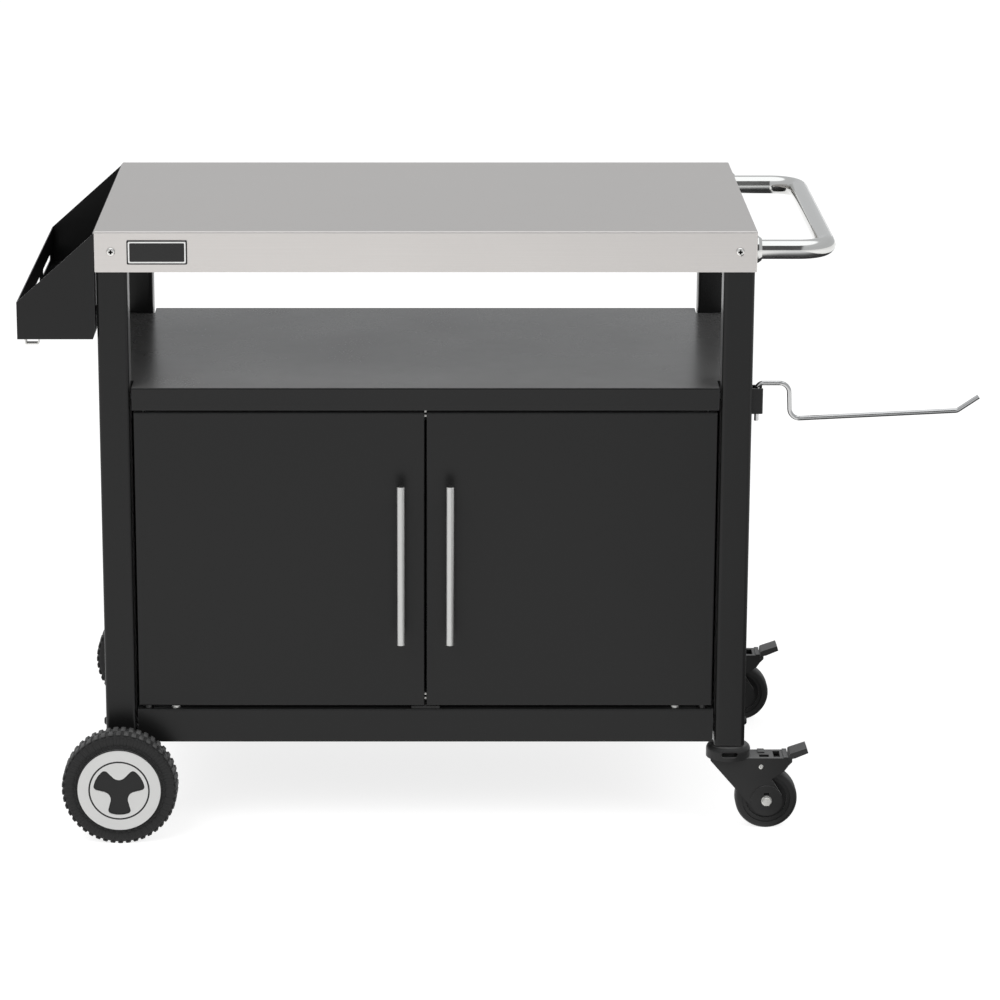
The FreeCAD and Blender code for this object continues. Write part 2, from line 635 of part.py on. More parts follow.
def shelf_and_floor():
    """The open shelf, whose front lip turns back to carry the door pins, and the cabinet floor."""
    shelf = folded_deck("mid_shelf", "shelf_height", "shelf_lip", "shelf_bolt_z")
    flange = new_sketch(shelf, "shelf_return_plan", "XY", "shelf_bottom")
    add_rectangle(flange, "panel_sheet - lip_x", "lip_x - panel_sheet",
                  "panel_sheet - leg_front", "shelf_return - leg_front")
    pad(shelf, flange, "panel_sheet")
    pin_places = (("-pivot_x", "-pivot_y"), ("pivot_x", "-pivot_y"))
    drill(shelf, "XY", pin_places, "pivot_radius + fixed_clearance", offset="shelf_bottom",
          length="3 * panel_sheet", name="pin_holes")
    node(shelf)
    floor = folded_deck("floor_panel", "floor_height", "floor_lip", "floor_bolt_z")
    drill(floor, "XY", pin_places, "pivot_radius + fixed_clearance", name="pin_holes")
    drill(floor, "XY", (("-floor_screw_x", "-pivot_y"), ("floor_screw_x", "-pivot_y")),
          "screw_radius + hole_clearance", name="screw_holes")
    node(floor)


def cabinet_walls():
    """Side panels with a flange against each leg, and a flat back."""
    body = new_body("side_panel_right")
    face = "wide_x + panel_sheet"
    toe = "wide_x + panel_sheet - side_flange"
    outline = ((face, "-leg_back"), (face, "leg_back"), (toe, "leg_back"),
               (toe, "leg_back - panel_sheet"), ("wide_x", "leg_back - panel_sheet"),
               ("wide_x", "panel_sheet - leg_back"), (toe, "panel_sheet - leg_back"),
               (toe, "-leg_back"))
    sketch = sketched(body, "side_panel_plan", "XY", "floor_bottom", outline)
    pad(body, sketch, "shelf_height - floor_bottom")
    node(body)
    node(mirrored(body, "side_panel_left", RIGHT))
    node(box("back_panel", ("-lip_x", "shelf_back", "floor_bottom"),
             ("lip_x", "shelf_back + panel_sheet", "shelf_height")))


def door_panel():
    """Folded door pan, open at the back, with pin holes in its top and bottom edges."""
    body = new_body("door_right_panel")
    plan = new_sketch(body, "door_face", "XZ", "door_back")
    add_rectangle(plan, "door_inner", "door_outer", "door_bottom", "door_top")
    feature = pad(body, plan, "door_depth")
    front = number("-leg_front")
    edges = straight_edges(feature, RIGHT, lambda middle: middle.y < front + 0.01)
    edges += straight_edges(feature, UP, lambda middle: middle.y < front + 0.01)
    feature = fillet(body, feature, edges, "door_bend", "folds")
    hollow(body, feature, [face_towards(feature, BACK)], "door_sheet")
    frame = new_sketch(body, "door_return_frame", "XZ", "door_back")
    inner_edge = "door_sheet"
    add_rectangle(frame, f"door_inner + {inner_edge}", f"door_outer - {inner_edge}",
                  f"door_bottom + {inner_edge}", f"door_top - {inner_edge}")
    add_rectangle(frame, "door_inner + door_return", "door_outer - door_return",
                  "door_bottom + door_return", "door_top - door_return")
    pad(body, frame, "door_sheet")
    drill(body, "XY", (("pivot_x", "-pivot_y"),), "pivot_radius + running_clearance",
          length="2 * top_height", name="pin_holes")
    return body


def door_handle():
    """Round bar on two posts."""
    body = new_body("door_right_handle", "bar_from_middle", "-bar_y", "bar_height")
    bar = new_sketch(body, "bar_section", "XY")
    add_circle(bar, "0", "0", "bar_diameter / 2")
    pad(body, bar, "bar_length", both_ways=True)
    posts = new_sketch(body, "post_section", "XZ", "-bar_standoff")
    for sign in ("", "-"):
        add_circle(posts, "0", f"{sign}(bar_length / 2 - post_inset)", "post_diameter / 2")
    pad(body, posts, "bar_standoff")
    return body


def doors():
    """Two doors, mirror images of each other, each with its handle and its strikes."""
    panel = door_panel()
    handle = door_handle()
    strikes = []
    for name, low in (("upper", "door_top - strike_edge - strike_height"),
                      ("lower", "door_bottom + strike_edge")):
        strikes.append(box(f"strike_{name}", ("door_inner + strike_edge", "-door_back", low),
                           ("door_inner + strike_edge + strike_width",
                            "strike_sheet - door_back", f"{low} + strike_height")))
    strike_pair = group("door_right_strikes", strikes)
    for piece, name in ((panel, "panel"), (handle, "handle"), (strike_pair, "strikes")):
        node(piece)
        node(mirrored(piece, f"door_left_{name}", RIGHT))


def catches():
    """Magnet catches behind the meeting edges of the doors."""
    half = "catch_width / 2"
    back = "catch_depth - catch_front"
    node(box("upper_catch", (f"-{half}", "-catch_front", "shelf_bottom - catch_height"),
             (half, back, "shelf_bottom")))
    upright = box("catch_upright", (f"-{half}", "-catch_front", "floor_height"),
                  (half, back, "floor_height + catch_height"))
    foot = box("catch_foot_plate", (f"-{half}", "2 * panel_sheet - leg_front", "floor_height"),
               (half, "-catch_front", "floor_height + catch_foot"))
    lower = doc.addObject("Part::Fuse", "lower_catch")
    lower.Base = upright
    lower.Tool = foot
    node(lower)
    plates = []
    for name, middle in (("top", "shelf_bottom - catch_height / 2"),
                         ("bottom", "floor_height + catch_foot + catch_height / 2")):
        for row, sign in (("high", "+"), ("low", "-")):
            low = f"{middle} {sign} pole_height - pole_height / 2"
            plates.append(box(f"pole_{name}_{row}", (f"-{half}", "-catch_front - pole_sheet", low),
                              (half, "-catch_front", f"{low} + pole_height")))
    node(group("catch_plates", plates))


def hinge_pins():
    """Upper pins hang from the shelf's return flange; lower pins stand on the floor panel."""
    radius = "pivot_radius"
    head = "pivot_radius + 2"
    upper_top = "panel_sheet + 2"
    upper = ((("0", f"-door_top_gap - pivot_reach")), (radius, "-door_top_gap - pivot_reach"),
             (radius, "panel_sheet"), (head, "panel_sheet"), (head, upper_top), ("0", upper_top))
    collar = "door_bottom_gap - working_gap"
    nut = "-panel_sheet - 3"
    lower = (("0", nut), (head, nut), (head, "-panel_sheet"), (radius, "-panel_sheet"),
             (radius, "0"), ("collar_radius", "0"), ("collar_radius", collar), (radius, collar),
             (radius, "door_bottom_gap + pivot_reach"), ("0", "door_bottom_gap + pivot_reach"))
    pins = []
    for side_name, side in SIDES:
        x = f"({side} * pivot_x)"
        pins.append(turned_piece(f"upper_pin_{side_name}", upper, x, "-pivot_y", "shelf_bottom",
                                 UPRIGHT))
        pins.append(turned_piece(f"lower_pin_{side_name}", lower, x, "-pivot_y", "floor_height",
                                 UPRIGHT))
    node(group("hinge_pins", pins))


def tray():
    """Folded trough with slots in its outer wall, and an end plate at each end."""
    inner = "-top_length / 2"
    sheet = "tray_sheet"
    body = new_body("tray_trough")
    outline = (("-tray_x", "tray_lip"), ("-tray_x", "tray_bottom"),
               (f"{inner} - tray_cut", "tray_bottom"), (inner, "tray_bottom + tray_cut_rise"),
               (inner, "top_height - tray_below_top"),
               (f"{inner} - {sheet}", "top_height - tray_below_top"),
               (f"{inner} - {sheet}", "tray_bottom + tray_cut_rise"),
               (f"{inner} - {sheet} - tray_cut", f"tray_bottom + {sheet}"),
               (f"{sheet} - tray_x", f"tray_bottom + {sheet}"), (f"{sheet} - tray_x", "tray_lip"))
    profile = sketched(body, "trough_profile", "XZ", "0", outline)
    pad(body, profile, "2 * tray_end", both_ways=True)
    slots = new_sketch(body, "slot_plan", "YZ", "-tray_x")
    for index in (-1, 0, 1):
        add_slot(slots, f"{index} * tray_slot_pitch", "tray_bottom + tray_slot_rise",
                 "tray_slot_length", "tray_slot_height")
    pocket(body, slots, "4 * tray_sheet")
    bolt_places = [(f"{end} * leg_y", height) for _, end in ENDS
                   for height in ("tray_bolt_z", "top_screw_z")]
    drill(body, "YZ", bolt_places, "bolt_radius + hole_clearance", offset=inner,
          length="4 * tray_sheet", name="bolt_holes")
    node(body)
    plate = (("-tray_x", "tray_lip"), ("-tray_x", "tray_bottom"),
             (f"{inner} - tray_cut", "tray_bottom"), (inner, "tray_bottom + tray_cut_rise"),
             (inner, "top_height - tray_below_top"))
    for end_name, end in ENDS:
        end_plate = new_body(f"tray_end_{end_name}")
        offset = "tray_end" if end < 0 else "-top_depth / 2"
        outline = sketched(end_plate, f"end_plate_{end_name}", "XZ", offset, plate)
        pad(end_plate, outline, "tray_sheet")
        node(end_plate)


def add_slot(sketch, across, up, length, height):
    """A slot with round ends, held by its two end centres and its radius."""
    radius = f"{height} / 2"
    half = number(f"{length} / 2 - {radius}")
    centre = Vector(number(across), number(up), 0)
    end_radius = number(radius)
    first = sketch.GeometryCount
    right = centre + Vector(half, 0, 0)
    left = centre - Vector(half, 0, 0)
    rise = Vector(0, end_radius, 0)
    quarter = 1.5707963267948966
    sketch.addGeometry(Part.LineSegment(left - rise, right - rise), False)
    sketch.addGeometry(Part.ArcOfCircle(Part.Circle(right, UP, end_radius), -quarter, quarter), False)
    sketch.addGeometry(Part.LineSegment(right + rise, left + rise), False)
    sketch.addGeometry(Part.ArcOfCircle(Part.Circle(left, UP, end_radius), quarter, 3 * quarter),
                       False)
    for line, line_end, arc, arc_end in ((0, 2, 1, 1), (2, 1, 1, 2), (2, 2, 3, 1), (0, 1, 3, 2)):
        sketch.addConstraint(Sketcher.Constraint(
            "Tangent", first + line, line_end, first + arc, arc_end))
    index = sketch.addConstraint(Sketcher.Constraint("Radius", first + 1, end_radius))
    sketch.setExpression(f"Constraints[{index}]", link(radius))
    pin_point(sketch, first + 1, 3, f"{across} + {length} / 2 - {radius}", up)
    index = sketch.addConstraint(
        Sketcher.Constraint("DistanceX", -1, 1, first + 3, 3, centre.x - half))
    sketch.setExpression(f"Constraints[{index}]", link(f"{across} - {length} / 2 + {radius}"))


def tray_fixings():
    """Bolts through the tray's inner wall into the left legs, with a spacer where there is a gap."""
    head_z = "bolt_head"
    wall = "bolt_head + tray_sheet"
    tip = f"{wall} + leg_inset + leg_wall + bolt_length"
    plain = (("0", "0"), ("bolt_head_radius", "0"), ("bolt_head_radius", head_z),
             ("bolt_radius", head_z), ("bolt_radius", tip), ("0", tip))
    spaced = (("0", "0"), ("bolt_head_radius", "0"), ("bolt_head_radius", head_z),
              ("bolt_radius", head_z), ("bolt_radius", wall), ("bolt_head_radius", wall),
              ("bolt_head_radius", f"{wall} + leg_inset"), ("bolt_radius", f"{wall} + leg_inset"),
              ("bolt_radius", tip), ("0", tip))
    bolts = []
    start = "(-top_length / 2 - tray_sheet - bolt_head)"
    for end_name, end in ENDS:
        for row, height, outline in (("lower", "tray_bolt_z", spaced),
                                     ("upper", "top_screw_z", plain)):
            bolts.append(turned_piece(f"tray_bolt_{row}_{end_name}", outline, start,
                                      f"{end} * leg_y", height, Rotation(BACK, 90)))
    node(group("tray_fixings", bolts))


def tray_loop():
    """Small strap loop welded under the tray near the front."""
    body = new_body("tray_loop", "(loop_from_side - tray_x)",
                    "loop_from_front + loop_strap_width - top_depth / 2", "tray_bottom")
    slant = "loop_strap"
    outline = (("0", "0"), (slant, "-loop_depth"), (f"loop_width - {slant}", "-loop_depth"),
               ("loop_width", "0"), ("loop_width - loop_strap", "0"),
               (f"loop_width - {slant} - loop_strap", "loop_strap - loop_depth"),
               (f"{slant} + loop_strap", "loop_strap - loop_depth"), ("loop_strap", "0"))
    strap = sketched(body, "loop_profile", "XZ", "0", outline)
    pad(body, strap, "loop_strap_width")
    node(body)


def push_handle():
    """Bent tube with a bell flange at each end, drawn to the right legs by a bolt."""
    body = new_body("push_handle", z="tube_z")
    spine = new_sketch(body, "tube_spine", "XY")
    add_lines(spine, (("top_length / 2", "-leg_y"), ("tube_x", "-leg_y"), ("tube_x", "leg_y"),
                      ("top_length / 2", "leg_y")), closed=False)
    for line in (0, 1):
        round_corner(spine, line, "tube_bend")
    section = new_sketch(body, "tube_section", "YZ", "top_length / 2")
    add_circle(section, "-leg_y", "0", "tube_radius")
    add_circle(section, "-leg_y", "0", "tube_radius - tube_wall")
    pipe = body.newObject("PartDesign::AdditivePipe", "tube_sweep")
    pipe.Profile = section
    pipe.Spine = spine
    doc.recompute()
    node(body)
    bore = "tube_radius + fixed_clearance"
    rim = "flange_diameter / 2"
    bell = ((bore, "0"), (rim, "0"), (rim, "flange_rim"),
            (f"{rim} - flange_taper", "flange_length"), (bore, "flange_length"))
    flanges = []
    bolts = []
    plug = "tube_radius - tube_wall - fixed_clearance"
    skin = "top_length / 2 - leg_inner"
    shank = "tube_bolt_radius"
    bolt = (("0", "-tube_bolt_head"), ("tube_bolt_head_radius", "-tube_bolt_head"),
            ("tube_bolt_head_radius", "0"), (shank, "0"), (shank, f"{skin} + 2"),
            (plug, f"{skin} + 2"), (plug, f"{skin} + tube_plug"), ("0", f"{skin} + tube_plug"))
    for end_name, end in ENDS:
        y = f"{end} * leg_y"
        flanges.append(turned_piece(f"flange_{end_name}", bell, "top_length / 2", y, "tube_z",
                                    Rotation(BACK, 90)))
        bolts.append(turned_piece(f"handle_bolt_{end_name}", bolt, "leg_inner", y, "tube_z",
                                  Rotation(BACK, 90)))
    node(group("handle_flanges", flanges))
    node(group("handle_bolts", bolts))


def swinging_hook():
    """Socket on the front right leg, and the bent rod that turns in it."""
    socket = new_body("hook_socket", "leg_outer", "-leg_y")
    plan = new_sketch(socket, "socket_plan", "XY", "socket_top - socket_height")
    add_rectangle(plan, "0", "socket_width", "-socket_breadth / 2", "socket_breadth / 2")
    feature = pad(socket, plan, "socket_height")
    outer = number("socket_width") - 0.01
    edges = straight_edges(feature, UP, lambda middle: middle.x > outer)
    fillet(socket, feature, edges, "hook_radius", "corners")
    mouth = new_sketch(socket, "socket_mouth_plan", "XY", "socket_top")
    add_rectangle(mouth, "-1", "socket_width + 1", "-socket_mouth / 2", "socket_mouth / 2")
    pocket(socket, mouth, "socket_top - socket_seat", both_ways=False)
    drill(socket, "XY", (("hook_offset", "0"),), "hook_radius + 2 * running_clearance",
          length="2 * top_height", name="bore")
    node(socket)
    rod = new_body("hook_rod", "hook_x", "-leg_y", "hook_run_z")
    spine = new_sketch(rod, "rod_spine", "XZ")
    low_x = "hook_run + 2"
    add_lines(spine, (("0", "-hook_tail"), ("0", "0"), ("hook_run", "0"), (low_x, "-hook_drop"),
                      (f"{low_x} + hook_arm", "hook_arm_rise - hook_drop"),
                      (f"{low_x} + hook_arm + hook_tip",
                       "hook_arm_rise + hook_tip_rise - hook_drop")), closed=False)
    for line, bend in enumerate(("hook_bend", "hook_knee", "hook_knee", "hook_bend")):
        round_corner(spine, line, bend)
    section = new_sketch(rod, "rod_section", "XY", "-hook_tail")
    add_circle(section, "0", "0", "hook_radius")
    pipe = rod.newObject("PartDesign::AdditivePipe", "rod_sweep")
    pipe.Profile = section
    pipe.Spine = spine
    doc.recompute()
    node(rod)


def small_fixings():
    """Screws of the worktop and the cabinet floor, and the bolts of shelf and floor."""
    pan = (("0", "0"), ("screw_radius", "0"), ("screw_radius", "screw_length"),
           ("screw_head_radius", "screw_length"),
           ("screw_head_radius", "screw_length + screw_head / 2"),
           ("screw_head_radius / 2", "screw_length + screw_head"),
           ("0", "screw_length + screw_head"))
    tall = (("0", "0"), ("screw_radius", "0"), ("screw_radius", "screw_length"),
            ("floor_screw_head_radius", "screw_length"),
            ("floor_screw_head_radius", "screw_length + floor_screw_head - 0.6"),
            ("floor_screw_head_radius - 0.6", "screw_length + floor_screw_head"),
            ("0", "screw_length + floor_screw_head"))
    screws = []
    for end_name, end in ENDS:
        turn = Rotation(RIGHT, -90 * end)
        for side_name, side in SIDES:
            screws.append(turned_piece(f"top_screw_{end_name}_{side_name}", pan,
                                       f"({side} * leg_x)", f"{end} * (top_depth / 2 - screw_length)",
                                       "top_screw_z", turn))
    node(group("top_screws", screws))
    node(group("floor_screws", [
        turned_piece(f"floor_screw_{name}", tall, f"({side} * floor_screw_x)", "-pivot_y",
                     "floor_height - screw_length", UPRIGHT) for name, side in SIDES]))
    lip = "bolt_head + panel_sheet"
    tip = f"{lip} + lip_gap + leg_wall + bolt_length"
    bolt = (("0", "0"), ("bolt_head_radius", "0"), ("bolt_head_radius", "bolt_head"),
            ("bolt_radius", "bolt_head"), ("bolt_radius", lip), ("bolt_head_radius", lip),
            ("bolt_head_radius", f"{lip} + lip_gap"), ("bolt_radius", f"{lip} + lip_gap"),
            ("bolt_radius", tip), ("0", tip))
    outside = f"{lip} + lip_gap + leg_side"
    through = bolt[:-2] + (("bolt_radius", outside), ("bolt_head_radius", outside),
                           ("bolt_head_radius * 0.6", f"{outside} + bolt_dome"),
                           ("0", f"{outside} + bolt_dome"))
    bolts = []
    for deck, outline, height in (("shelf", bolt, "shelf_bolt_z"),
                                  ("floor", through, "floor_bolt_z")):
        for end_name, end in ENDS:
            for side_name, side in SIDES:
                bolts.append(turned_piece(
                    f"{deck}_bolt_{end_name}_{side_name}", outline,
                    f"({side} * (lip_x - panel_sheet - bolt_head))", f"{end} * leg_y", height,
                    Rotation(BACK, 90 * side)))
    node(group("shelf_fixings", bolts))


def big_tyre(end, place_of_wheel):
    """Moulded tyre with two staggered rows of lugs round a rounded tread."""
    body = new_body(f"wheel_{end}_tyre", *place_of_wheel)
    seat = "rim_radius + fixed_clearance"
    feature = revolve(body, ((seat, "0"), ("tread_radius", "0"), ("tread_radius", "wheel_width"),
                             (seat, "wheel_width")))
    limit = number("tread_radius") - 0.01
    shoulders = [f"Edge{index}" for index, edge in enumerate(feature.Shape.Edges, 1)
                 if isinstance(edge.Curve, Part.Circle) and edge.Curve.Radius > limit]
    fillet(body, feature, shoulders, "tyre_round", "shoulders")
    rows = (("inboard", "lug_edge", "0"), ("outboard", "(wheel_width + lug_row_gap) / 2", "0.5"))
    for name, start, shift in rows:
        lug = new_sketch(body, f"lug_{name}_{end}", "XY", start)
        bind(lug, AttachmentOffset__Rotation__Angle=f"{shift} * 360 / lug_count")
        add_rectangle(lug, "-lug_width / 2", "lug_width / 2", "tread_radius - tyre_round / 2",
                      "sqrt(wheel_radius ^ 2 - (lug_width / 2) ^ 2)")
        row = pad(body, lug, "(wheel_width - lug_row_gap) / 2 - lug_edge")
        pattern_round(body, row, "lug_count", f"row_{name}")
    node(body)


def big_hub(end, place_of_wheel):
    """Boss, web and rim in one moulding, on the axle bolt."""
    bore = "axle_radius + running_clearance"
    inner_rim = "rim_radius - rim_depth"
    body = new_body(f"wheel_{end}_hub", *place_of_wheel)
    revolve(body, (
        (bore, "working_gap - wheel_gap"), ("boss_radius", "working_gap - wheel_gap"),
        ("boss_radius", "web_low"), (inner_rim, "web_low"), (inner_rim, "rim_inset"),
        ("rim_radius", "rim_inset"), ("rim_radius", "rim_face"), (inner_rim, "rim_face"),
        (inner_rim, "web_low + web_thickness"), ("boss_radius", "web_low + web_thickness"),
        ("boss_radius", "boss_face"), (bore, "boss_face")))
    node(body)


def hub_cap(end, place_of_wheel):
    """Cap over the axle bolt, snapped on the rim."""
    body = new_body(f"wheel_{end}_cap", *place_of_wheel)
    inner = "cap_radius - cap_wall"
    revolve(body, (("0", "cap_face - cap_wall"), (inner, "cap_face - cap_wall"),
                   (inner, "rim_face"), ("cap_radius", "rim_face"),
                   ("cap_radius", "cap_face - cap_wall / 2"),
                   ("cap_radius - cap_wall / 2", "cap_face"), ("0", "cap_face")))
    node(body)


def trim_disc(end, place_of_wheel):
    """Bright disc with a ring groove and a three-lobed opening that shows the cap."""
    body = new_body(f"wheel_{end}_trim", *place_of_wheel)
    plate = new_sketch(body, f"trim_plan_{end}", "XY", "cap_face")
    add_circle(plate, "0", "0", "trim_radius")
    add_circle(plate, "0", "0", "lobe_reach")
    pad(body, plate, "trim_sheet")
    apex = "saddle_reach - saddle_radius * (sqrt(2) - 1)"
    outside = "lobe_reach + 2"
    web = sketched(body, f"trim_web_{end}", "XY", "cap_face",
                   (("0", apex), (f"({outside} - ({apex}))", outside),
                    (f"-({outside} - ({apex}))", outside)))
    feature = pattern_round(body, pad(body, web, "trim_sheet"), "3", "webs")

    def reach(middle):
        return (middle.x ** 2 + middle.y ** 2) ** 0.5

    inside = number("saddle_reach")
    saddles = straight_edges(feature, UP, lambda middle: reach(middle) < inside)
    feature = fillet(body, feature, saddles, "saddle_radius", "saddles")
    rim = number("lobe_reach") + 0.01
    corners = straight_edges(feature, UP,
                             lambda middle: rim - 1 < reach(middle) < rim)
    fillet(body, feature, corners, "lobe_corner", "lobe_corners")
    groove = new_sketch(body, f"trim_line_{end}", "XY", "cap_face + trim_sheet")
    add_circle(groove, "0", "0", "trim_line_radius + trim_line_width / 2")
    add_circle(groove, "0", "0", "trim_line_radius - trim_line_width / 2")
    pocket(body, groove, "trim_line_depth", both_ways=False)
    node(body)


def big_wheels():
    """Two wheels on bolts through the left legs, with the plugs that close those legs."""
    hardware = []
    plugs = []
    washer = "boss_face + working_gap"
    head = f"{washer} + axle_washer"
    tail = "leg_side + axle_nut + 2"
    bolt = (("0", f"-wheel_gap - {tail}"), ("axle_radius", f"-wheel_gap - {tail}"),
            ("axle_radius", washer), ("axle_head_radius + 1", washer),
            ("axle_head_radius + 1", head), ("axle_head_radius", head),
            ("axle_head_radius", f"{head} + axle_head"), ("0", f"{head} + axle_head"))
    nut_face = "-wheel_gap - leg_side"
    bore = "axle_radius + fixed_clearance"
    nut = ((bore, f"{nut_face} - axle_nut"), ("axle_head_radius", f"{nut_face} - axle_nut"),
           ("axle_head_radius", nut_face), (bore, nut_face))
    for (end_name, end), turn in zip(ENDS, (AXLE_FRONT, AXLE_REAR)):
        place_of_wheel = ("(-leg_x)", f"{end} * wheel_y", "wheel_radius", turn)
        big_tyre(end_name, place_of_wheel)
        big_hub(end_name, place_of_wheel)
        hub_cap(end_name, place_of_wheel)
        trim_disc(end_name, place_of_wheel)
        hardware.append(turned_piece(f"axle_bolt_{end_name}", bolt, *place_of_wheel))
        hardware.append(turned_piece(f"axle_nut_{end_name}", nut, *place_of_wheel))
        plugs.append(leg_insert(f"leg_plug_{end_name}", "(-leg_x)", f"{end} * leg_y",
                                "wheel_radius - leg_past_axle", "insert_length / 2"))
    node(group("wheel_axles", hardware))
    node(group("leg_plugs", plugs))


def leg_insert(label, x, y, leg_end, length):
    """Square moulding pushed into a leg, with a collar over the end of the tube."""
    body = new_body(label, x, y, leg_end)
    for name, offset, side, height in (("collar", "-insert_collar", "leg_side", "insert_collar"),
                                       ("block", "0", "insert_side", length)):
        sketch = new_sketch(body, f"{label}_{name}", "XY", offset)
        add_rectangle(sketch, f"-{side} / 2", f"{side} / 2", f"-{side} / 2", f"{side} / 2")
        feature = pad(body, sketch, height)
        if name == "collar":
            fillet(body, feature, straight_edges(feature, UP), "leg_corner", "collar_corners")
        else:
            inside = straight_edges(feature, UP, lambda middle: middle.z > 0)
            fillet(body, feature, inside, "leg_corner - leg_wall + fixed_clearance",
                   "block_corners")
    return body


def caster_fork(end, place_of_caster):
    """Swivel dome, bridge and two cheeks in one moulding; the cheeks sweep back to the axle."""
    body = new_body(f"caster_{end}_fork", *place_of_caster)
    bore = "stem_radius + running_clearance"
    inner_top = "dome_top - dome_wall"
    feature = revolve(body, (
        (bore, "dome_top"), ("dome_radius", "dome_top"), ("dome_radius", "dome_bottom"),
        ("dome_radius - dome_wall", "dome_bottom"),
        ("dome_radius - dome_wall", "dome_top - dome_round"),
        ("dome_radius - dome_round", inner_top), (bore, inner_top)))
    rim = number("dome_radius") - 0.01
    top = number("dome_top") - 0.01
    shoulder = [f"Edge{index}" for index, edge in enumerate(feature.Shape.Edges, 1)
                if isinstance(edge.Curve, Part.Circle) and edge.Curve.Radius > rim
                and edge.Curve.Center.z > top]
    fillet(body, feature, shoulder, "dome_round", "shoulder")
    cusp = "caster_diameter - fork_cusp_rise"
    heel = "caster_trail + fork_end_radius / 3"
    outline = (
        ("-flank_x", "bridge_top"), ("-flank_x", "flank_z"),
        ("flank_length * cos(flank_angle) - flank_x", "flank_z - flank_length * sin(flank_angle)"),
        ("caster_trail + fork_end_radius * 0.77", "caster_radius + fork_end_radius * 0.64"),
        (heel, "caster_radius + fork_end_radius * 1.35"),
        (heel, "caster_diameter - fork_end_radius / 2"), ("fork_reach - 5", cusp),
        ("fork_reach", f"({cusp} + bridge_bottom) / 2"), ("fork_reach", "bridge_top"))
    side = sketched(body, f"fork_side_{end}", "XZ", "0", outline)
    pad(body, side, "2 * fork_outer", both_ways=True)
    eye = new_sketch(body, f"fork_eye_{end}", "XZ")
    add_circle(eye, "caster_trail", "caster_radius", "fork_end_radius")
    pad(body, eye, "2 * fork_face", both_ways=True)
    ribs = new_sketch(body, f"fork_ribs_{end}", "XY", "bridge_top")
    add_rectangle(ribs, "pedal_pivot - 3", "pedal_pivot + 6", "fork_inner / 3", "fork_outer")
    add_rectangle(ribs, "fork_reach - 6", "fork_reach", "-fork_outer", "fork_outer")
    pad(body, ribs, "fork_rib")
    gap = new_sketch(body, f"fork_gap_{end}", "XZ")
    add_rectangle(gap, "-2 * dome_radius", "2 * fork_reach", "-1", "bridge_bottom")
    pocket(body, gap, "2 * fork_inner")
    windows = new_sketch(body, f"fork_windows_{end}", "XY", "bridge_top")
    add_rectangle(windows, "pedal_pivot - 2", "pedal_pivot + 11", "1 - fork_inner",
                  "fork_inner / -5")
    add_rectangle(windows, "fork_reach - 19", "fork_reach - 10", "1 - fork_inner", "fork_inner - 2")
    pocket(body, windows, "2 * fork_bridge")
    mouth = new_sketch(body, f"fork_mouth_{end}", "XZ")
    add_slot(mouth, "0", "dome_top - mouth_drop", "mouth_width", "mouth_height")
    pocket(body, mouth, "4 * dome_radius")
    slot = new_sketch(body, f"fork_slot_{end}", "XZ")
    over = "caster_radius + caster_bolt_radius + 0.15"
    add_rectangle(slot, "caster_trail - fork_slot", "caster_trail + fork_slot", over,
                  f"{over} + fork_slot")
    pocket(body, slot, "4 * fork_outer")
    drill(body, "XZ", (("caster_trail", "caster_radius"),), "caster_axle_radius + fixed_clearance",
          name="axle_hole")
    drill(body, "XZ", (("pedal_pivot", "pedal_z"),), "pedal_pin_radius + fixed_clearance",
          name="pin_hole")
    node(body)


def caster_pins(end, x, y):
    """Axle bolt and pedal pin, both held by the fork."""
    across = Rotation(RIGHT, 90)
    for name, radius, head, cap, half, where, height in (
            ("axle", "caster_axle_radius", "caster_bolt_radius", "caster_bolt_head",
             "fork_face", "caster_trail", "caster_radius"),
            ("pin", "pedal_pin_radius", "pedal_pin_head", "pedal_pin_cap",
             "fork_outer", "pedal_pivot", "pedal_z")):
        outline = (("0", f"-{half} - {cap}"), (head, f"-{half} - {cap}"), (head, f"-{half}"),
                   (radius, f"-{half}"), (radius, half), (head, half), (head, f"{half} + {cap}"),
                   ("0", f"{half} + {cap}"))
        node(turned_piece(f"caster_{end}_{name}", outline, f"{x} + {where}", y, height, across))


def caster_wheel(end, x, y):
    """Rounded tyre on a webbed hub."""
    across = Rotation(RIGHT, 90)
    middle = (f"{x} + caster_trail", y, "caster_radius", across)
    tyre = new_body(f"caster_{end}_tyre", *middle)
    seat = "caster_radius - caster_tread"
    half = "caster_width / 2"
    feature = revolve(tyre, ((seat, f"-{half}"), ("caster_radius", f"-{half}"),
                             ("caster_radius", half), (seat, half)))
    limit = number("caster_radius") - 0.01
    edges = [f"Edge{index}" for index, edge in enumerate(feature.Shape.Edges, 1)
             if isinstance(edge.Curve, Part.Circle) and edge.Curve.Radius > limit]
    fillet(tyre, feature, edges, "caster_round", "shoulders")
    node(tyre)
    hub = new_body(f"caster_{end}_hub", *middle)
    bore = "caster_axle_radius + running_clearance"
    edge = f"{seat} - fixed_clearance"
    boss = "caster_hub_width / 2"
    web = "caster_web / 2"
    rim = "caster_rim_width / 2"
    inner = f"{seat} - caster_rim"
    revolve(hub, ((bore, f"-{boss}"), ("caster_hub_radius", f"-{boss}"),
                  ("caster_hub_radius", f"-{web}"), (inner, f"-{web}"), (inner, f"-{rim}"),
                  (edge, f"-{rim}"), (edge, rim), (inner, rim), (inner, web),
                  ("caster_hub_radius", web), ("caster_hub_radius", boss), (bore, boss)))
    node(hub)


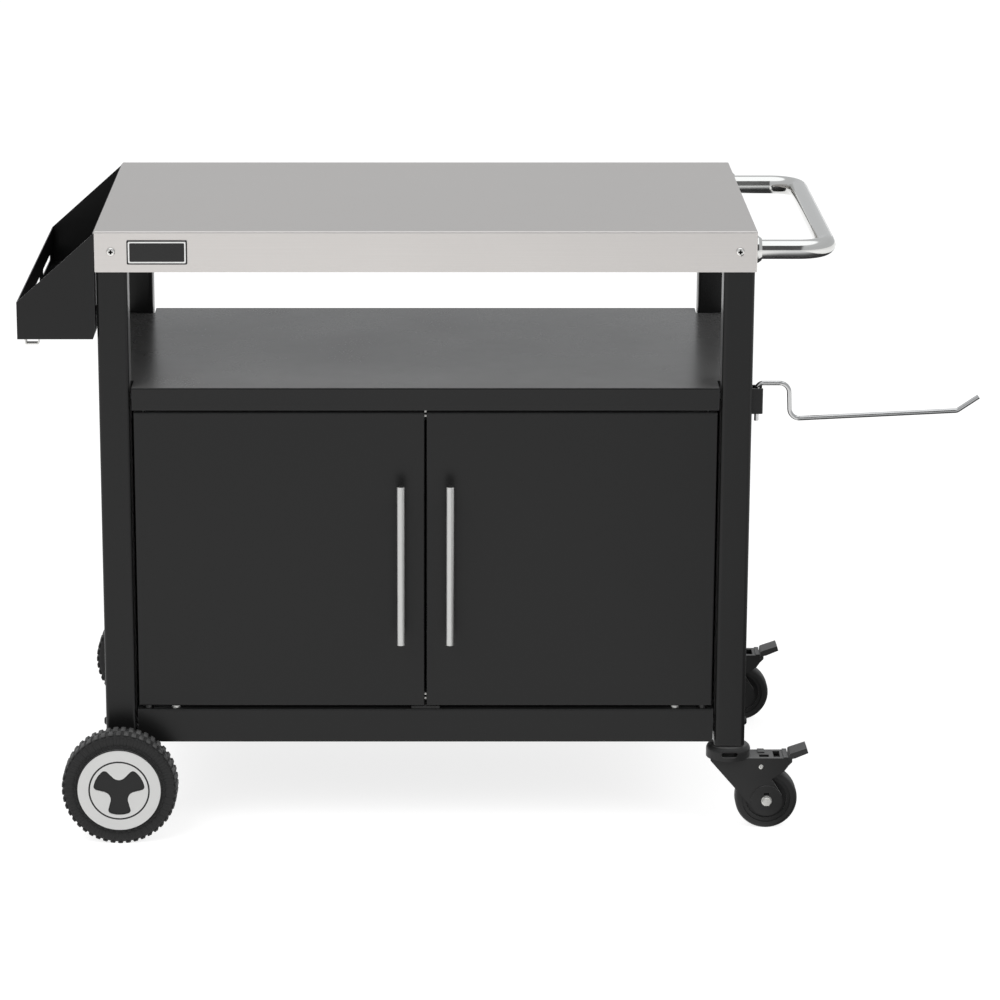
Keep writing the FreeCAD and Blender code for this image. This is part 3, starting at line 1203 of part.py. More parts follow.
def brake_pedal(end, place_of_caster):
    """Lever between the cheeks: a shoe over the tread, and a tongue past the fork's end."""
    body = new_body(f"caster_{end}_pedal", *place_of_caster)
    width = "caster_hub_width"
    boss = new_sketch(body, f"pedal_boss_{end}", "XZ")
    add_circle(boss, "pedal_pivot", "pedal_z", "pedal_boss")
    pad(body, boss, width, both_ways=True)
    lip = "pedal_neck + 4.5"
    root = "pedal_over + pedal_tongue_lift + pedal_tongue_sheet"
    arm = sketched(body, f"pedal_arm_{end}", "XZ", "0", (
        ("pedal_pivot", "pedal_under"), ("fork_reach - 7", "pedal_under"),
        ("pedal_neck", "pedal_z"), (lip, "pedal_over"), (lip, root), ("pedal_neck", root),
        ("pedal_neck", "pedal_over"), ("pedal_pivot", "pedal_over")))
    pad(body, arm, width, both_ways=True)
    end_x = "pedal_neck + pedal_tongue"
    tongue = sketched(body, f"pedal_tongue_{end}", "XZ", "0", (
        ("pedal_neck", f"{root} - pedal_tongue_sheet"),
        ("pedal_neck + 8", f"{root} - pedal_tongue_sheet + 1.5"),
        (f"{end_x} + 2.5", f"{root} + pedal_tongue_rise - pedal_tongue_sheet"),
        (end_x, f"{root} + pedal_tongue_rise"), ("pedal_neck + 1.5", f"{root} + 1.5"),
        ("pedal_neck", root)))
    pad(body, tongue, "pedal_breadth", both_ways=True)
    drill(body, "XZ", (("pedal_pivot", "pedal_z"),), "pedal_pin_radius + running_clearance",
          name="pin_hole")
    node(body)


def casters():
    """Two trailing casters under the right legs, each with a brake."""
    inserts = []
    stems = []
    washer = "stem_washer"
    head_top = "-insert_collar - stem_washer - 2 * working_gap - dome_wall"
    stem = (("0", f"{head_top} - stem_head"), ("stem_head_radius", f"{head_top} - stem_head"),
            ("stem_head_radius", head_top), ("stem_radius", head_top),
            ("stem_radius", f"-insert_collar - {washer}"),
            ("stem_washer_radius", f"-insert_collar - {washer}"),
            ("stem_washer_radius", "-insert_collar"), ("stem_radius", "-insert_collar"),
            ("stem_radius", "stem_length"), ("0", "stem_length"))
    for end_name, end in ENDS:
        x, y = "leg_x", f"{end} * leg_y"
        insert = leg_insert(f"caster_insert_{end_name}", x, y, "caster_height", "insert_length")
        drill(insert, "XY", (("0", "0"),), "stem_radius + fixed_clearance", length="top_height",
              name="stem_hole")
        inserts.append(insert)
        stems.append(turned_piece(f"stem_{end_name}", stem, x, y, "caster_height", UPRIGHT))
        caster_fork(end_name, (x, y))
        caster_pins(end_name, x, y)
        caster_wheel(end_name, x, y)
        brake_pedal(end_name, (x, y))
    node(group("caster_inserts", inserts))
    node(group("caster_stems", stems))


def check_and_write():
    """Refuse a failed object or an empty or broken shape, then write each piece."""
    doc.recompute()
    for item in doc.Objects:
        if "Invalid" in item.State or "Error" in item.State:
            raise ValueError(f"{item.Label} failed: {item.State}")
    for item in nodes:
        if item.Shape.isNull() or not item.Shape.isValid() or not item.Shape.Solids:
            raise ValueError(f"{item.Label} has no sound shape")
    os.makedirs("parts", exist_ok=True)
    for item in nodes:
        item.Shape.exportStep(f"parts/{item.Label}.step")
    solids = sum(len(item.Shape.Solids) for item in nodes)
    print(f"{len(nodes)} nodes, {solids} solids")


sizes = fill_sheet("Sizes", [(alias, str(amount)) for alias, amount, _ in SIZES])
names = {alias for alias, _, _ in SIZES}
layout = doc.addObject("Spreadsheet::Sheet", "Layout")
for row, (alias, formula) in enumerate(LAYOUT, 1):
    layout.set(f"A{row}", alias)
    layout.set(f"B{row}", "=" + re.sub(
        r"[A-Za-z_]\w*", lambda word: f"Sizes.{word[0]}" if word[0] in names else word[0], formula))
    layout.setAlias(f"B{row}", alias)
    owner[alias] = "Layout"
doc.recompute()

table_top()
top_channels()
for side_name, side in SIDES:
    for end_name, end in ENDS:
        leg(side_name, side, end_name, end)
shelf_and_floor()
cabinet_walls()
doors()
catches()
hinge_pins()
tray()
tray_fixings()
tray_loop()
push_handle()
swinging_hook()
small_fixings()
big_wheels()
casters()
check_and_write()
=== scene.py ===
"""Looks of the grill cart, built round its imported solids.

Metres, +Z up, doors towards -Y, push handle towards +X. Each sub-assembly is a class that gives
the solids their finishes and adds the small pieces that the solids leave out.
"""

import logging
import math
from dataclasses import dataclass, field, replace
from enum import Enum
from functools import reduce
from typing import Iterable, Sequence, Union

import bmesh
import bpy
from mathutils import Matrix, Vector


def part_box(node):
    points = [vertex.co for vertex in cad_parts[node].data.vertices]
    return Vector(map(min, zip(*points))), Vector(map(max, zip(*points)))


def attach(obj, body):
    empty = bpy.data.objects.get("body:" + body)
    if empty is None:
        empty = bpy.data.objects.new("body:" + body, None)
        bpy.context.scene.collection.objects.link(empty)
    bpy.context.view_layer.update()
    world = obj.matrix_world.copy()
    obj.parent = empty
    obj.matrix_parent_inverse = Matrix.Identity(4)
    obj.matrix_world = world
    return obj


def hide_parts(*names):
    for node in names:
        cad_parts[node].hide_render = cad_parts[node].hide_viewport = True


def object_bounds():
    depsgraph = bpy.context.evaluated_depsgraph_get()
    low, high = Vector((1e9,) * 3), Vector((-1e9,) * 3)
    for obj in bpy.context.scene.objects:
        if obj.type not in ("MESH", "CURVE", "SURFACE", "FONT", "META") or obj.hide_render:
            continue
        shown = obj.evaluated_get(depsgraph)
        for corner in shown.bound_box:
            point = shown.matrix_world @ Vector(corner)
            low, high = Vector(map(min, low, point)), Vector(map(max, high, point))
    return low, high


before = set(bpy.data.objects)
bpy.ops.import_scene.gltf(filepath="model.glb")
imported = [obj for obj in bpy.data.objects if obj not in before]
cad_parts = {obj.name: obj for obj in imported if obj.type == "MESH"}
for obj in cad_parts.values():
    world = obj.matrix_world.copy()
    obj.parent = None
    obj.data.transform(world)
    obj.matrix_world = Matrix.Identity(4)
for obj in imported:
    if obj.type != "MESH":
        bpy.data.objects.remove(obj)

CAD_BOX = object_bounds()
LOG = logging.getLogger("grill_cart")

Colour = tuple[float, float, float]
Point = tuple[float, float]
Seat = tuple[Vector, Vector]
Value = Union[float, Sequence[float], bpy.types.NodeSocket, bpy.types.ID]

MOST_OF_A_SIDE = 0.45
WELD_GAP = 1e-7
SOLID_WELD_GAP = 1e-6
UPWARD_NORMALS: Point = (0.85, 0.99)
WHITE: Colour = (1.0, 1.0, 1.0)
COOL_GREY: Colour = (0.985, 1.0, 1.015)


class Grain(Enum):
    """The way that a sheet or bar was brushed."""

    ALONG_X = (5.0, 900.0, 900.0)
    ALONG_Z = (900.0, 900.0, 5.0)


class End(Enum):
    """The two ends of the cart's depth, with the side of the middle that each lies on."""

    FRONT = -1
    REAR = 1

    @property
    def word(self) -> str:
        """The end's name in the names of solids and bodies."""
        return self.name.lower()


def shade(colour: Colour, factor: float) -> Colour:
    """Multiply a colour by a factor, up to white."""
    return tuple(min(1.0, part * factor) for part in colour)


class Nodes:
    """Adds nodes to a shader, world or geometry tree and joins them."""

    def __init__(self, tree: bpy.types.NodeTree) -> None:
        """Keep the tree that the nodes go into."""
        self.tree = tree

    def add(self, kind: str, inputs: dict | None = None, **settings: object) -> bpy.types.Node:
        """Add one node.

        Args:
            kind: Blender's name for the node's type.
            inputs: values, or outputs of other nodes, by the input's name or number.
            settings: the node's own properties.

        Returns:
            The node.
        """
        node = self.tree.nodes.new(kind)
        for name, setting in settings.items():
            setattr(node, name, setting)
        for name, value in (inputs or {}).items():
            self.feed(node.inputs[name], value)
        return node

    def feed(self, socket: bpy.types.NodeSocket, value: Value) -> None:
        """Join an output to an input, or set the input's own value.

        Args:
            socket: the input.
            value: an output of another node, or a plain value.
        """
        if isinstance(value, bpy.types.NodeSocket):
            self.tree.links.new(value, socket)
        else:
            socket.default_value = value

    def sum(self, operation: str, *terms: Value) -> bpy.types.NodeSocket:
        """Work out one sum of numbers, such as ADD or MULTIPLY."""
        return self.add("ShaderNodeMath", dict(enumerate(terms)), operation=operation).outputs[0]

    def product(self, *factors: bpy.types.NodeSocket) -> bpy.types.NodeSocket:
        """Multiply several outputs."""
        return reduce(lambda first, second: self.sum("MULTIPLY", first, second), factors)

    def spread(self, value: bpy.types.NodeSocket, low: float, high: float,
               start: float = 0.25, end: float = 0.75) -> bpy.types.NodeSocket:
        """Carry a value from one range to another, and hold it there.

        Args:
            value: what is carried.
            low: the result at start.
            high: the result at end.
            start: where the first range begins.
            end: where the first range ends.

        Returns:
            The carried value.
        """
        return self.add("ShaderNodeMapRange", {
            "Value": value, "From Min": start, "From Max": end, "To Min": low,
            "To Max": high}).outputs["Result"]

    def window(self, value: bpy.types.NodeSocket, limits: Point,
               soft: float) -> bpy.types.NodeSocket:
        """Give 1 where a value lies between two limits, and 0 outside them.

        Args:
            value: the value.
            limits: where the window begins and ends.
            soft: the width of its soft borders.

        Returns:
            The window.
        """
        begin, end = (self.spread(value, *levels, limit - soft / 2, limit + soft / 2)
                      for limit, levels in zip(limits, ((0.0, 1.0), (1.0, 0.0))))
        return self.product(begin, end)

    def blend(self, share: Value, first: Value, second: Value,
              kind: str = "MIX") -> bpy.types.NodeSocket:
        """Mix two colours.

        Args:
            share: how much of the second shows.
            first: a colour or an output.
            second: a colour or an output.
            kind: Blender's name for the way of mixing.

        Returns:
            The mixed colour.
        """
        values = [(*each, 1.0) if isinstance(each, tuple) else each for each in (first, second)]
        return self.add("ShaderNodeMix", {0: share, 6: values[0], 7: values[1]},
                        data_type="RGBA", blend_type=kind).outputs[2]

    def ramp(self, place: bpy.types.NodeSocket, stops: Sequence[Point]) -> bpy.types.NodeSocket:
        """Give a slightly cool grey that changes along a value.

        Args:
            place: the value.
            stops: pairs of a value and the brightness there, those at 0 and 1 first.

        Returns:
            The grey.
        """
        node = self.add("ShaderNodeValToRGB", {0: place})
        elements = node.color_ramp.elements
        for index, (position, level) in enumerate(stops):
            element = elements[index] if index < 2 else elements.new(position)
            element.position = position
            element.color = (*(tint * level for tint in COOL_GREY), 1.0)
        return node.outputs["Color"]


class Shader(Nodes):
    """A material under construction, with patterns that lie still in the object."""

    def __init__(self, name: str) -> None:
        """Start a material with one principled shader.

        Args:
            name: the material's name.
        """
        self.material = bpy.data.materials.new(name)
        self.material.use_nodes = True
        super().__init__(self.material.node_tree)
        self.surface = self.tree.nodes["Principled BSDF"]
        self.place = self.add("ShaderNodeTexCoord").outputs["Object"]

    def set(self, **values: Value) -> None:
        """Set the principled shader's inputs, with an underscore for each space of a name."""
        for name, value in values.items():
            self.feed(self.surface.inputs[name.replace("_", " ")], value)

    def stretched(self, scale: Sequence[float]) -> bpy.types.NodeSocket:
        """Give the object's coordinates, stretched along the axes."""
        return self.add("ShaderNodeMapping", {"Vector": self.place, "Scale": scale}).outputs[0]

    def noise(self, scale: float, detail: float = 2.0,
              place: bpy.types.NodeSocket | None = None) -> bpy.types.NodeSocket:
        """Add noise, about 0.5 on average, with some spots to a metre and layers of detail."""
        return self.add("ShaderNodeTexNoise", {
            "Vector": place or self.place, "Scale": scale, "Detail": detail}).outputs["Fac"]

    def around(self, pattern: bpy.types.NodeSocket, middle: float,
               swing: Point) -> bpy.types.NodeSocket:
        """Carry a pattern to values that swing a little below and above a middle."""
        return self.spread(pattern, middle - swing[0], middle + swing[1])

    def mottle(self, pattern: bpy.types.NodeSocket, colour: Colour,
               factors: Point) -> bpy.types.NodeSocket:
        """Vary a colour with a pattern, from one multiple of it to another."""
        return self.blend(pattern, *(shade(colour, factor) for factor in factors))

    def relief(self, height: bpy.types.NodeSocket, depth: float) -> None:
        """Raise the surface where a value is high, and by a depth in metres where it is 1."""
        bump = self.add("ShaderNodeBump", {"Height": height, "Distance": depth, "Strength": 1.0})
        self.set(Normal=bump.outputs["Normal"])

    def upward(self) -> bpy.types.NodeSocket:
        """Find the faces that look up.

        Returns:
            1 on them and 0 on upright faces.
        """
        normal = self.add("ShaderNodeNewGeometry").outputs["True Normal"]
        height = self.add("ShaderNodeSeparateXYZ", {0: normal}).outputs["Z"]
        return self.spread(height, 0.0, 1.0, *UPWARD_NORMALS)

    def ring_distance(self, centre: Point) -> bpy.types.NodeSocket:
        """Measure from an axle that lies along Y.

        Args:
            centre: X and Z of the axle.

        Returns:
            The distance in metres.
        """
        moved = self.add("ShaderNodeMapping", {
            "Vector": self.place, "Location": (-centre[0], 0.0, -centre[1]),
            "Scale": (1.0, 0.0, 1.0)}).outputs[0]
        return self.add("ShaderNodeVectorMath", {0: moved}, operation="LENGTH").outputs["Value"]


@dataclass(frozen=True)
class Finish:
    """A finish of the cart, made into a material once."""

    name: str
    colour: Colour
    roughness: float

    def material(self) -> bpy.types.Material:
        """Make the finish's material on first use.

        Returns:
            The material.
        """
        made = bpy.data.materials.get(self.name)
        if made is None:
            shader = Shader(self.name)
            shader.set(Roughness=self.roughness)
            self.paint(shader)
            made = shader.material
            made.diffuse_color = (*self.colour, 1.0)
        return made

    def paint(self, shader: Shader) -> None:
        """Fill the shader in."""
        raise NotImplementedError


@dataclass(frozen=True)
class BrushedSteel(Finish):
    """Stainless sheet or bar with fine lines one way and faint smears of handling."""

    grain: Grain = Grain.ALONG_X
    line_depth: float = 0.000004
    line_tones: Point = (0.93, 1.06)
    line_swing: Point = (0.05, 0.05)
    smear: float = 4.0
    smear_swing: Point = (0.02, 0.03)

    def paint(self, shader: Shader) -> None:
        """Lay lines along the grain and vary the gloss with them.

        Args:
            shader: the material under construction.
        """
        lines = shader.noise(1.0, 3.0, shader.stretched(self.grain.value))
        smears = shader.noise(self.smear)
        rough = shader.sum("ADD", shader.around(lines, 0.0, self.line_swing),
                           shader.around(smears, self.roughness, self.smear_swing))
        shader.set(Metallic=1.0, Roughness=rough,
                   Base_Color=shader.mottle(lines, self.colour, self.line_tones))
        shader.relief(lines, self.line_depth)


@dataclass(frozen=True)
class Plating(Finish):
    """Chrome or zinc on steel."""

    stain: float = 0.05
    spot: float = 60.0
    gloss_range: Point = (0.7, 1.4)

    def paint(self, shader: Shader) -> None:
        """Cloud the plating a little.

        Args:
            shader: the material under construction.
        """
        cloud = shader.noise(self.spot, detail=3.0)
        rough = [self.roughness * factor for factor in self.gloss_range]
        shader.set(Metallic=1.0, Roughness=shader.spread(cloud, *rough),
                   Base_Color=shader.mottle(cloud, self.colour, (1.0 - 2.0 * self.stain, 1.0)))


@dataclass(frozen=True)
class PowderCoat(Finish):
    """Baked black powder: a fine orange-peel skin, with edges painted paler, partly worn thin and
    partly a painted highlight.
    """

    peel: float = 420.0
    peel_depth: float = 0.000012
    cloud: float = 7.0
    swing: Point = (0.02, 0.03)
    edge: float = 0.0012
    # Paler edge colour: partly worn coat, partly a painted highlight.
    edge_colour: Colour = (0.03, 0.03, 0.031)
    gloss: float = 1.35
    bloom: float = 0.1
    bloom_spread: float = 0.3
    # Paler colour painted on faces that look up: a painted sheen.
    dust: Colour = (0.0, 0.0, 0.0)
    dust_spot: float = 30.0
    tones: Point = (0.85, 1.15)
    rim: Point = (0.86, 0.995)

    def paint(self, shader: Shader) -> None:
        """Lay the skin, paint a pale sheen on what looks up and pale the edges, partly worn thin
        and partly a painted highlight.

        Args:
            shader: the material under construction.
        """
        peel = shader.noise(self.peel)
        cloud = shader.noise(self.cloud, detail=3.0)
        coat = shader.mottle(cloud, self.colour, self.tones)
        # Painted sheen: faces that look up are painted paler, in place of the reflection they
        # catch at a slant.
        if any(self.dust):
            coat = shader.blend(shader.upward(), coat, shader.mottle(
                shader.noise(self.dust_spot, detail=4.0), self.dust, self.tones))
        # Edges are painted paler: partly a thin worn coat, partly a painted highlight on the
        # rounds.
        rounded = shader.add("ShaderNodeBevel", {"Radius": self.edge}, samples=4).outputs[0]
        straight = shader.add("ShaderNodeNewGeometry").outputs["True Normal"]
        flatness = shader.add("ShaderNodeVectorMath", {0: rounded, 1: straight},
                              operation="DOT_PRODUCT").outputs["Value"]
        worn_and_highlighted_edges = shader.spread(flatness, 1.0, 0.0, *self.rim)
        rough = shader.sum("ADD", shader.around(peel, 0.0, self.swing),
                           shader.around(cloud, self.roughness, self.swing))
        shader.set(Base_Color=shader.blend(worn_and_highlighted_edges, coat, self.edge_colour), Roughness=rough,
                   IOR=self.gloss, Sheen_Weight=self.bloom, Sheen_Roughness=self.bloom_spread)
        shader.relief(peel, self.peel_depth)


@dataclass(frozen=True)
class Moulding(Finish):
    """Moulded plastic with a fine matt grain."""

    pit: float = 650.0
    pit_depth: float = 0.00002
    swing: Point = (0.05, 0.07)
    cloud: float = 18.0
    tones: Point = (0.85, 1.2)
    # Paler colour painted on faces that look up: a painted sheen.
    dust: Colour = (0.08, 0.08, 0.08)
    dust_spot: float = 260.0
    dust_tones: Point = (0.7, 1.3)
    gloss: float = 1.38
    bloom: float = 0.35
    bloom_spread: float = 0.3

    def paint(self, shader: Shader) -> None:
        """Roughen the skin with fine pits and paint a pale sheen on what looks up.

        Args:
            shader: the material under construction.
        """
        pits = shader.noise(self.pit, detail=3.0)
        skin = shader.mottle(shader.noise(self.cloud), self.colour, self.tones)
        # Painted sheen: faces that look up are painted paler, in place of the reflection they
        # catch at a slant.
        dust = shader.mottle(shader.noise(self.dust_spot, detail=3.0), self.dust, self.dust_tones)
        shader.set(Base_Color=shader.blend(shader.upward(), skin, dust),
                   Roughness=shader.around(pits, self.roughness, self.swing),
                   IOR=self.gloss, Sheen_Weight=self.bloom, Sheen_Roughness=self.bloom_spread)
        shader.relief(pits, self.pit_depth)


@dataclass(frozen=True)
class Tread(Moulding):
    """Tyre moulding, paler towards the tread where it has scuffed."""

    centre: Point = (0.0, 0.0)
    fresh_radius: float = 0.0
    scuffed_radius: float = 1.0
    scuff: Colour = (0.1, 0.1, 0.1)
    scuff_spot: float = 90.0
    least_scuff: float = 0.35
    scuff_gloss: float = 0.12

    def paint(self, shader: Shader) -> None:
        """Pale the moulding with distance from the axle.

        Args:
            shader: the material under construction.
        """
        worn = shader.product(
            shader.spread(shader.ring_distance(self.centre), 0.0, 1.0, self.fresh_radius,
                          self.scuffed_radius),
            shader.spread(shader.noise(self.scuff_spot, detail=3.0), self.least_scuff, 1.0))
        rough = shader.spread(worn, self.roughness, self.roughness + self.scuff_gloss, 0.0, 1.0)
        shader.set(Base_Color=shader.blend(worn, self.colour, self.scuff), Roughness=rough,
                   IOR=self.gloss)
        shader.relief(shader.noise(self.pit, detail=3.0), self.pit_depth)


@dataclass(frozen=True)
class TurnedDisc(Finish):
    """Pale satin disc with faint rings round an axle that lies along Y."""

    centre: Point = (0.0, 0.0)
    rings_per_metre: float = 2600.0
    ring_depth: float = 0.000003
    swing: Point = (0.05, 0.06)
    cloud: float = 45.0
    tones: Point = (0.95, 1.0)
    metal: float = 0.25

    def paint(self, shader: Shader) -> None:
        """Lay rings of slightly different gloss.

        Args:
            shader: the material under construction.
        """
        distance = shader.sum("MULTIPLY", shader.ring_distance(self.centre), self.rings_per_metre)
        along = shader.add("ShaderNodeCombineXYZ", {"X": distance}).outputs[0]
        rings = shader.noise(1.0, 2.0, along)
        shader.set(Base_Color=shader.mottle(shader.noise(self.cloud), self.colour, self.tones),
                   Roughness=shader.around(rings, self.roughness, self.swing),
                   Metallic=self.metal)
        shader.relief(rings, self.ring_depth)


def axle(node: str) -> Point:
    """Find X and Z of the axle that a round solid turns on."""
    low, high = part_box(node)
    return ((low.x + high.x) / 2, (low.z + high.z) / 2)


def circle(radius: float, count: int) -> list[Point]:
    """Space points evenly on a circle."""
    angles = (math.tau * step / count for step in range(count))
    return [(radius * math.cos(angle), radius * math.sin(angle)) for angle in angles]


WHEEL_CENTRE = axle("wheel_front_trim")
CASTER_CENTRE = axle("caster_front_hub")

STAINLESS = BrushedSteel("stainless_sheet_finish", (0.635, 0.610, 0.590), 0.34)
BAR = BrushedSteel("handle_bar_finish", (0.515, 0.515, 0.505), 0.32, grain=Grain.ALONG_Z)
CHROME = Plating("chrome_tube_finish", (0.67, 0.67, 0.655), 0.09, stain=0.02, spot=20.0)
ROD = Plating("hook_rod_finish", (0.55, 0.55, 0.55), 0.16, stain=0.05, spot=120.0)
SCREW = Plating("screw_finish", (0.78, 0.77, 0.75), 0.2, stain=0.05, spot=500.0)
# Painted shade: near-black finish for the crosses laid in the screw recesses.
PAINTED_RECESS_SHADE = Plating("screw_recess_finish", (0.04, 0.04, 0.04), 0.5, stain=0.1, spot=500.0)
ZINC = Plating("zinc_fixing_finish", (0.66, 0.655, 0.63), 0.28, stain=0.12, spot=300.0)
GUIDE = replace(ZINC, name="guide_head_finish", colour=(0.74, 0.74, 0.72), roughness=0.5)
DARK_STEEL = Plating("dark_fixing_finish", (0.05, 0.05, 0.05), 0.38, stain=0.1, spot=200.0)
POWDER = PowderCoat("black_powder_finish", (0.0068, 0.0068, 0.0068), 0.30)
# The shelf's upward faces get a painted sheen.
DECK = replace(POWDER, name="shelf_powder_finish", roughness=0.23, dust=(0.08, 0.08, 0.08))
TROUGH = replace(POWDER, name="tray_powder_finish", bloom=0.0, colour=(0.009, 0.009, 0.009))
PLASTIC = Moulding("black_moulding_finish", (0.009, 0.009, 0.009), 0.42)
FORK = replace(PLASTIC, name="fork_moulding_finish", colour=(0.014, 0.014, 0.014))
PEDAL = Moulding("grey_pedal_finish", (0.034, 0.034, 0.034), 0.45)
TYRE = Tread("tyre_finish", (0.016, 0.016, 0.016), 0.55, centre=WHEEL_CENTRE,
             fresh_radius=0.0735, scuffed_radius=0.0762, scuff=(0.12, 0.12, 0.12))
CASTER_TYRE = Tread("caster_tyre_finish", (0.019, 0.019, 0.019), 0.5, centre=CASTER_CENTRE,
                    fresh_radius=0.0385, scuffed_radius=0.0413, scuff=(0.09, 0.09, 0.09))
DISC = TurnedDisc("trim_disc_finish", (0.70, 0.70, 0.69), 0.38, centre=WHEEL_CENTRE)
BADGE_FACE = Moulding("badge_face_finish", (0.012, 0.012, 0.012), 0.24, pit=900.0,
                      pit_depth=0.000004)
BADGE_LINE = Plating("badge_line_finish", (0.80, 0.80, 0.79), 0.3, stain=0.03, spot=150.0)


def scaled(shape: Iterable[Point], radius: float, height: float) -> list[Point]:
    """Turn pairs of shares into pairs of radius and height."""
    return [(across * radius, up * height) for across, up in shape]


def soften(outline: Sequence[Point], radius: float, steps: int = 4) -> list[Point]:
    """Round the corners of a closed outline.

    Args:
        outline: the corners in order.
        radius: how far from a corner the round begins, at most.
        steps: pieces in each round.

    Returns:
        The points of the rounded outline.
    """
    rounded = []
    corners = [Vector(corner) for corner in outline]
    for index, corner in enumerate(corners):
        before = corners[index - 1] - corner
        after = corners[(index + 1) % len(corners)] - corner
        start = corner + before * min(MOST_OF_A_SIDE, radius / before.length)
        end = corner + after * min(MOST_OF_A_SIDE, radius / after.length)
        for step in range(steps + 1):
            share = step / steps
            rounded.append(tuple(start * (1 - share) ** 2 + corner * 2 * share * (1 - share)
                                 + end * share ** 2))
    return rounded


def finished_mesh(name: str, work: bmesh.types.BMesh, sharp: float = 32.0) -> bpy.types.Mesh:
    """Close a mesh under construction, turn its faces outwards and smooth it.

    Args:
        name: the mesh's name.
        work: the mesh under construction, which is freed.
        sharp: the angle in degrees past which an edge stays sharp.

    Returns:
        The mesh.
    """
    bmesh.ops.remove_doubles(work, verts=work.verts, dist=WELD_GAP)
    bmesh.ops.dissolve_degenerate(work, edges=work.edges, dist=WELD_GAP)
    bmesh.ops.recalc_face_normals(work, faces=work.faces)
    mesh = bpy.data.meshes.new(name)
    work.to_mesh(mesh)
    work.free()
    mesh.shade_smooth()
    mesh.set_sharp_from_angle(angle=math.radians(sharp))
    return mesh


def turned(name: str, outline: Sequence[Point], segments: int = 96) -> bpy.types.Mesh:
    """Turn a closed outline of radius and height about the Z axis.

    Args:
        name: the mesh's name.
        outline: pairs of radius and height.
        segments: steps round the axis.

    Returns:
        The mesh.
    """
    work = bmesh.new()
    rings = []
    for step in range(segments):
        angle = math.tau * step / segments
        rings.append([work.verts.new((radius * math.cos(angle), radius * math.sin(angle), height))
                      for radius, height in outline])
    for index, ring in enumerate(rings):
        following = rings[(index + 1) % segments]
        for corner in range(len(outline)):
            other = (corner + 1) % len(outline)
            work.faces.new((ring[corner], following[corner], following[other], ring[other]))
    return finished_mesh(name, work)


def plate(name: str, outline: Sequence[Point], low: float, high: float,
          hole: Sequence[Point] = ()) -> bpy.types.Mesh:
    """Make a flat plate, or a flat ring where a hole is given.

    Args:
        name: the mesh's name.
        outline: the outer edge.
        low: height of the underside.
        high: height of the upper side.
        hole: the inner edge, with as many points as the outer one.

    Returns:
        The mesh.
    """
    work = bmesh.new()
    outer = [[work.verts.new((*point, height)) for point in outline] for height in (low, high)]
    count = len(outline)
    for index in range(count):
        after = (index + 1) % count
        work.faces.new((outer[0][index], outer[0][after], outer[1][after], outer[1][index]))
    if not hole:
        work.faces.new(outer[1])
        work.faces.new(outer[0][::-1])
        return finished_mesh(name, work)
    inner = [[work.verts.new((*point, height)) for point in hole] for height in (low, high)]
    for index in range(count):
        after = (index + 1) % count
        work.faces.new((inner[0][after], inner[0][index], inner[1][index], inner[1][after]))
        for level in (0, 1):
            work.faces.new((outer[level][index], outer[level][after],
                            inner[level][after], inner[level][index]))
    return finished_mesh(name, work)


def block(name: str, size: Sequence[float], bevel: float) -> bpy.types.Mesh:
    """Make a block with cut edges, centred on the origin.

    Args:
        name: the mesh's name.
        size: its three lengths.
        bevel: width of the cut edges.

    Returns:
        The mesh.
    """
    work = bmesh.new()
    bmesh.ops.create_cube(work, size=1.0, matrix=Matrix.Diagonal((*size, 1.0)))
    bmesh.ops.bevel(work, geom=work.edges, offset=bevel, segments=1, affect="EDGES")
    return finished_mesh(name, work, sharp=60.0)


def joined(name: str, meshes: Iterable[bpy.types.Mesh]) -> bpy.types.Mesh:
    """Put several meshes into one, and drop the single ones.

    Args:
        name: the new mesh's name.
        meshes: what is put together.

    Returns:
        The mesh.
    """
    work = bmesh.new()
    for mesh in meshes:
        work.from_mesh(mesh)
        bpy.data.meshes.remove(mesh)
    return finished_mesh(name, work)


def piece(name: str, mesh: bpy.types.Mesh, place: Matrix = Matrix()) -> bpy.types.Object:
    """Make an object at the origin, with its place in its mesh.

    Args:
        name: the object's name.
        mesh: its mesh.
        place: where the mesh goes.

    Returns:
        The object.
    """
    mesh.transform(place)
    mesh.name = name
    made = bpy.data.objects.new(name, mesh)
    bpy.context.scene.collection.objects.link(made)
    return made


def shown_mesh(made: bpy.types.Object) -> bpy.types.Mesh:
    """Give an object's mesh as its modifiers leave it."""
    evaluated = made.evaluated_get(bpy.context.evaluated_depsgraph_get())
    return bpy.data.meshes.new_from_object(evaluated)


def fit(made: bpy.types.Object, body: str, finish: Finish | None = None,
        stands_for: str = "") -> None:
    """Finish a piece and hand it to the body that carries it.

    Args:
        made: the piece.
        body: the name of the body.
        finish: its finish, or None where its mesh has one.
        stands_for: the solid that it is shown in place of.
    """
    if finish is not None:
        made.data.materials.clear()
        made.data.materials.append(finish.material())
    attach(made, body)
    if stands_for:
        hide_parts(stands_for)
    LOG.info("%s rides on %s", made.name, body)


def dress(finish: Finish, *nodes: str) -> None:
    """Give solids a finish.

    Args:
        finish: the finish.
        nodes: the names of the solids.
    """
    for node in nodes:
        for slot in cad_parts[node].material_slots:
            slot.material = finish.material()
        LOG.info("%s is finished in %s", node, finish.name)


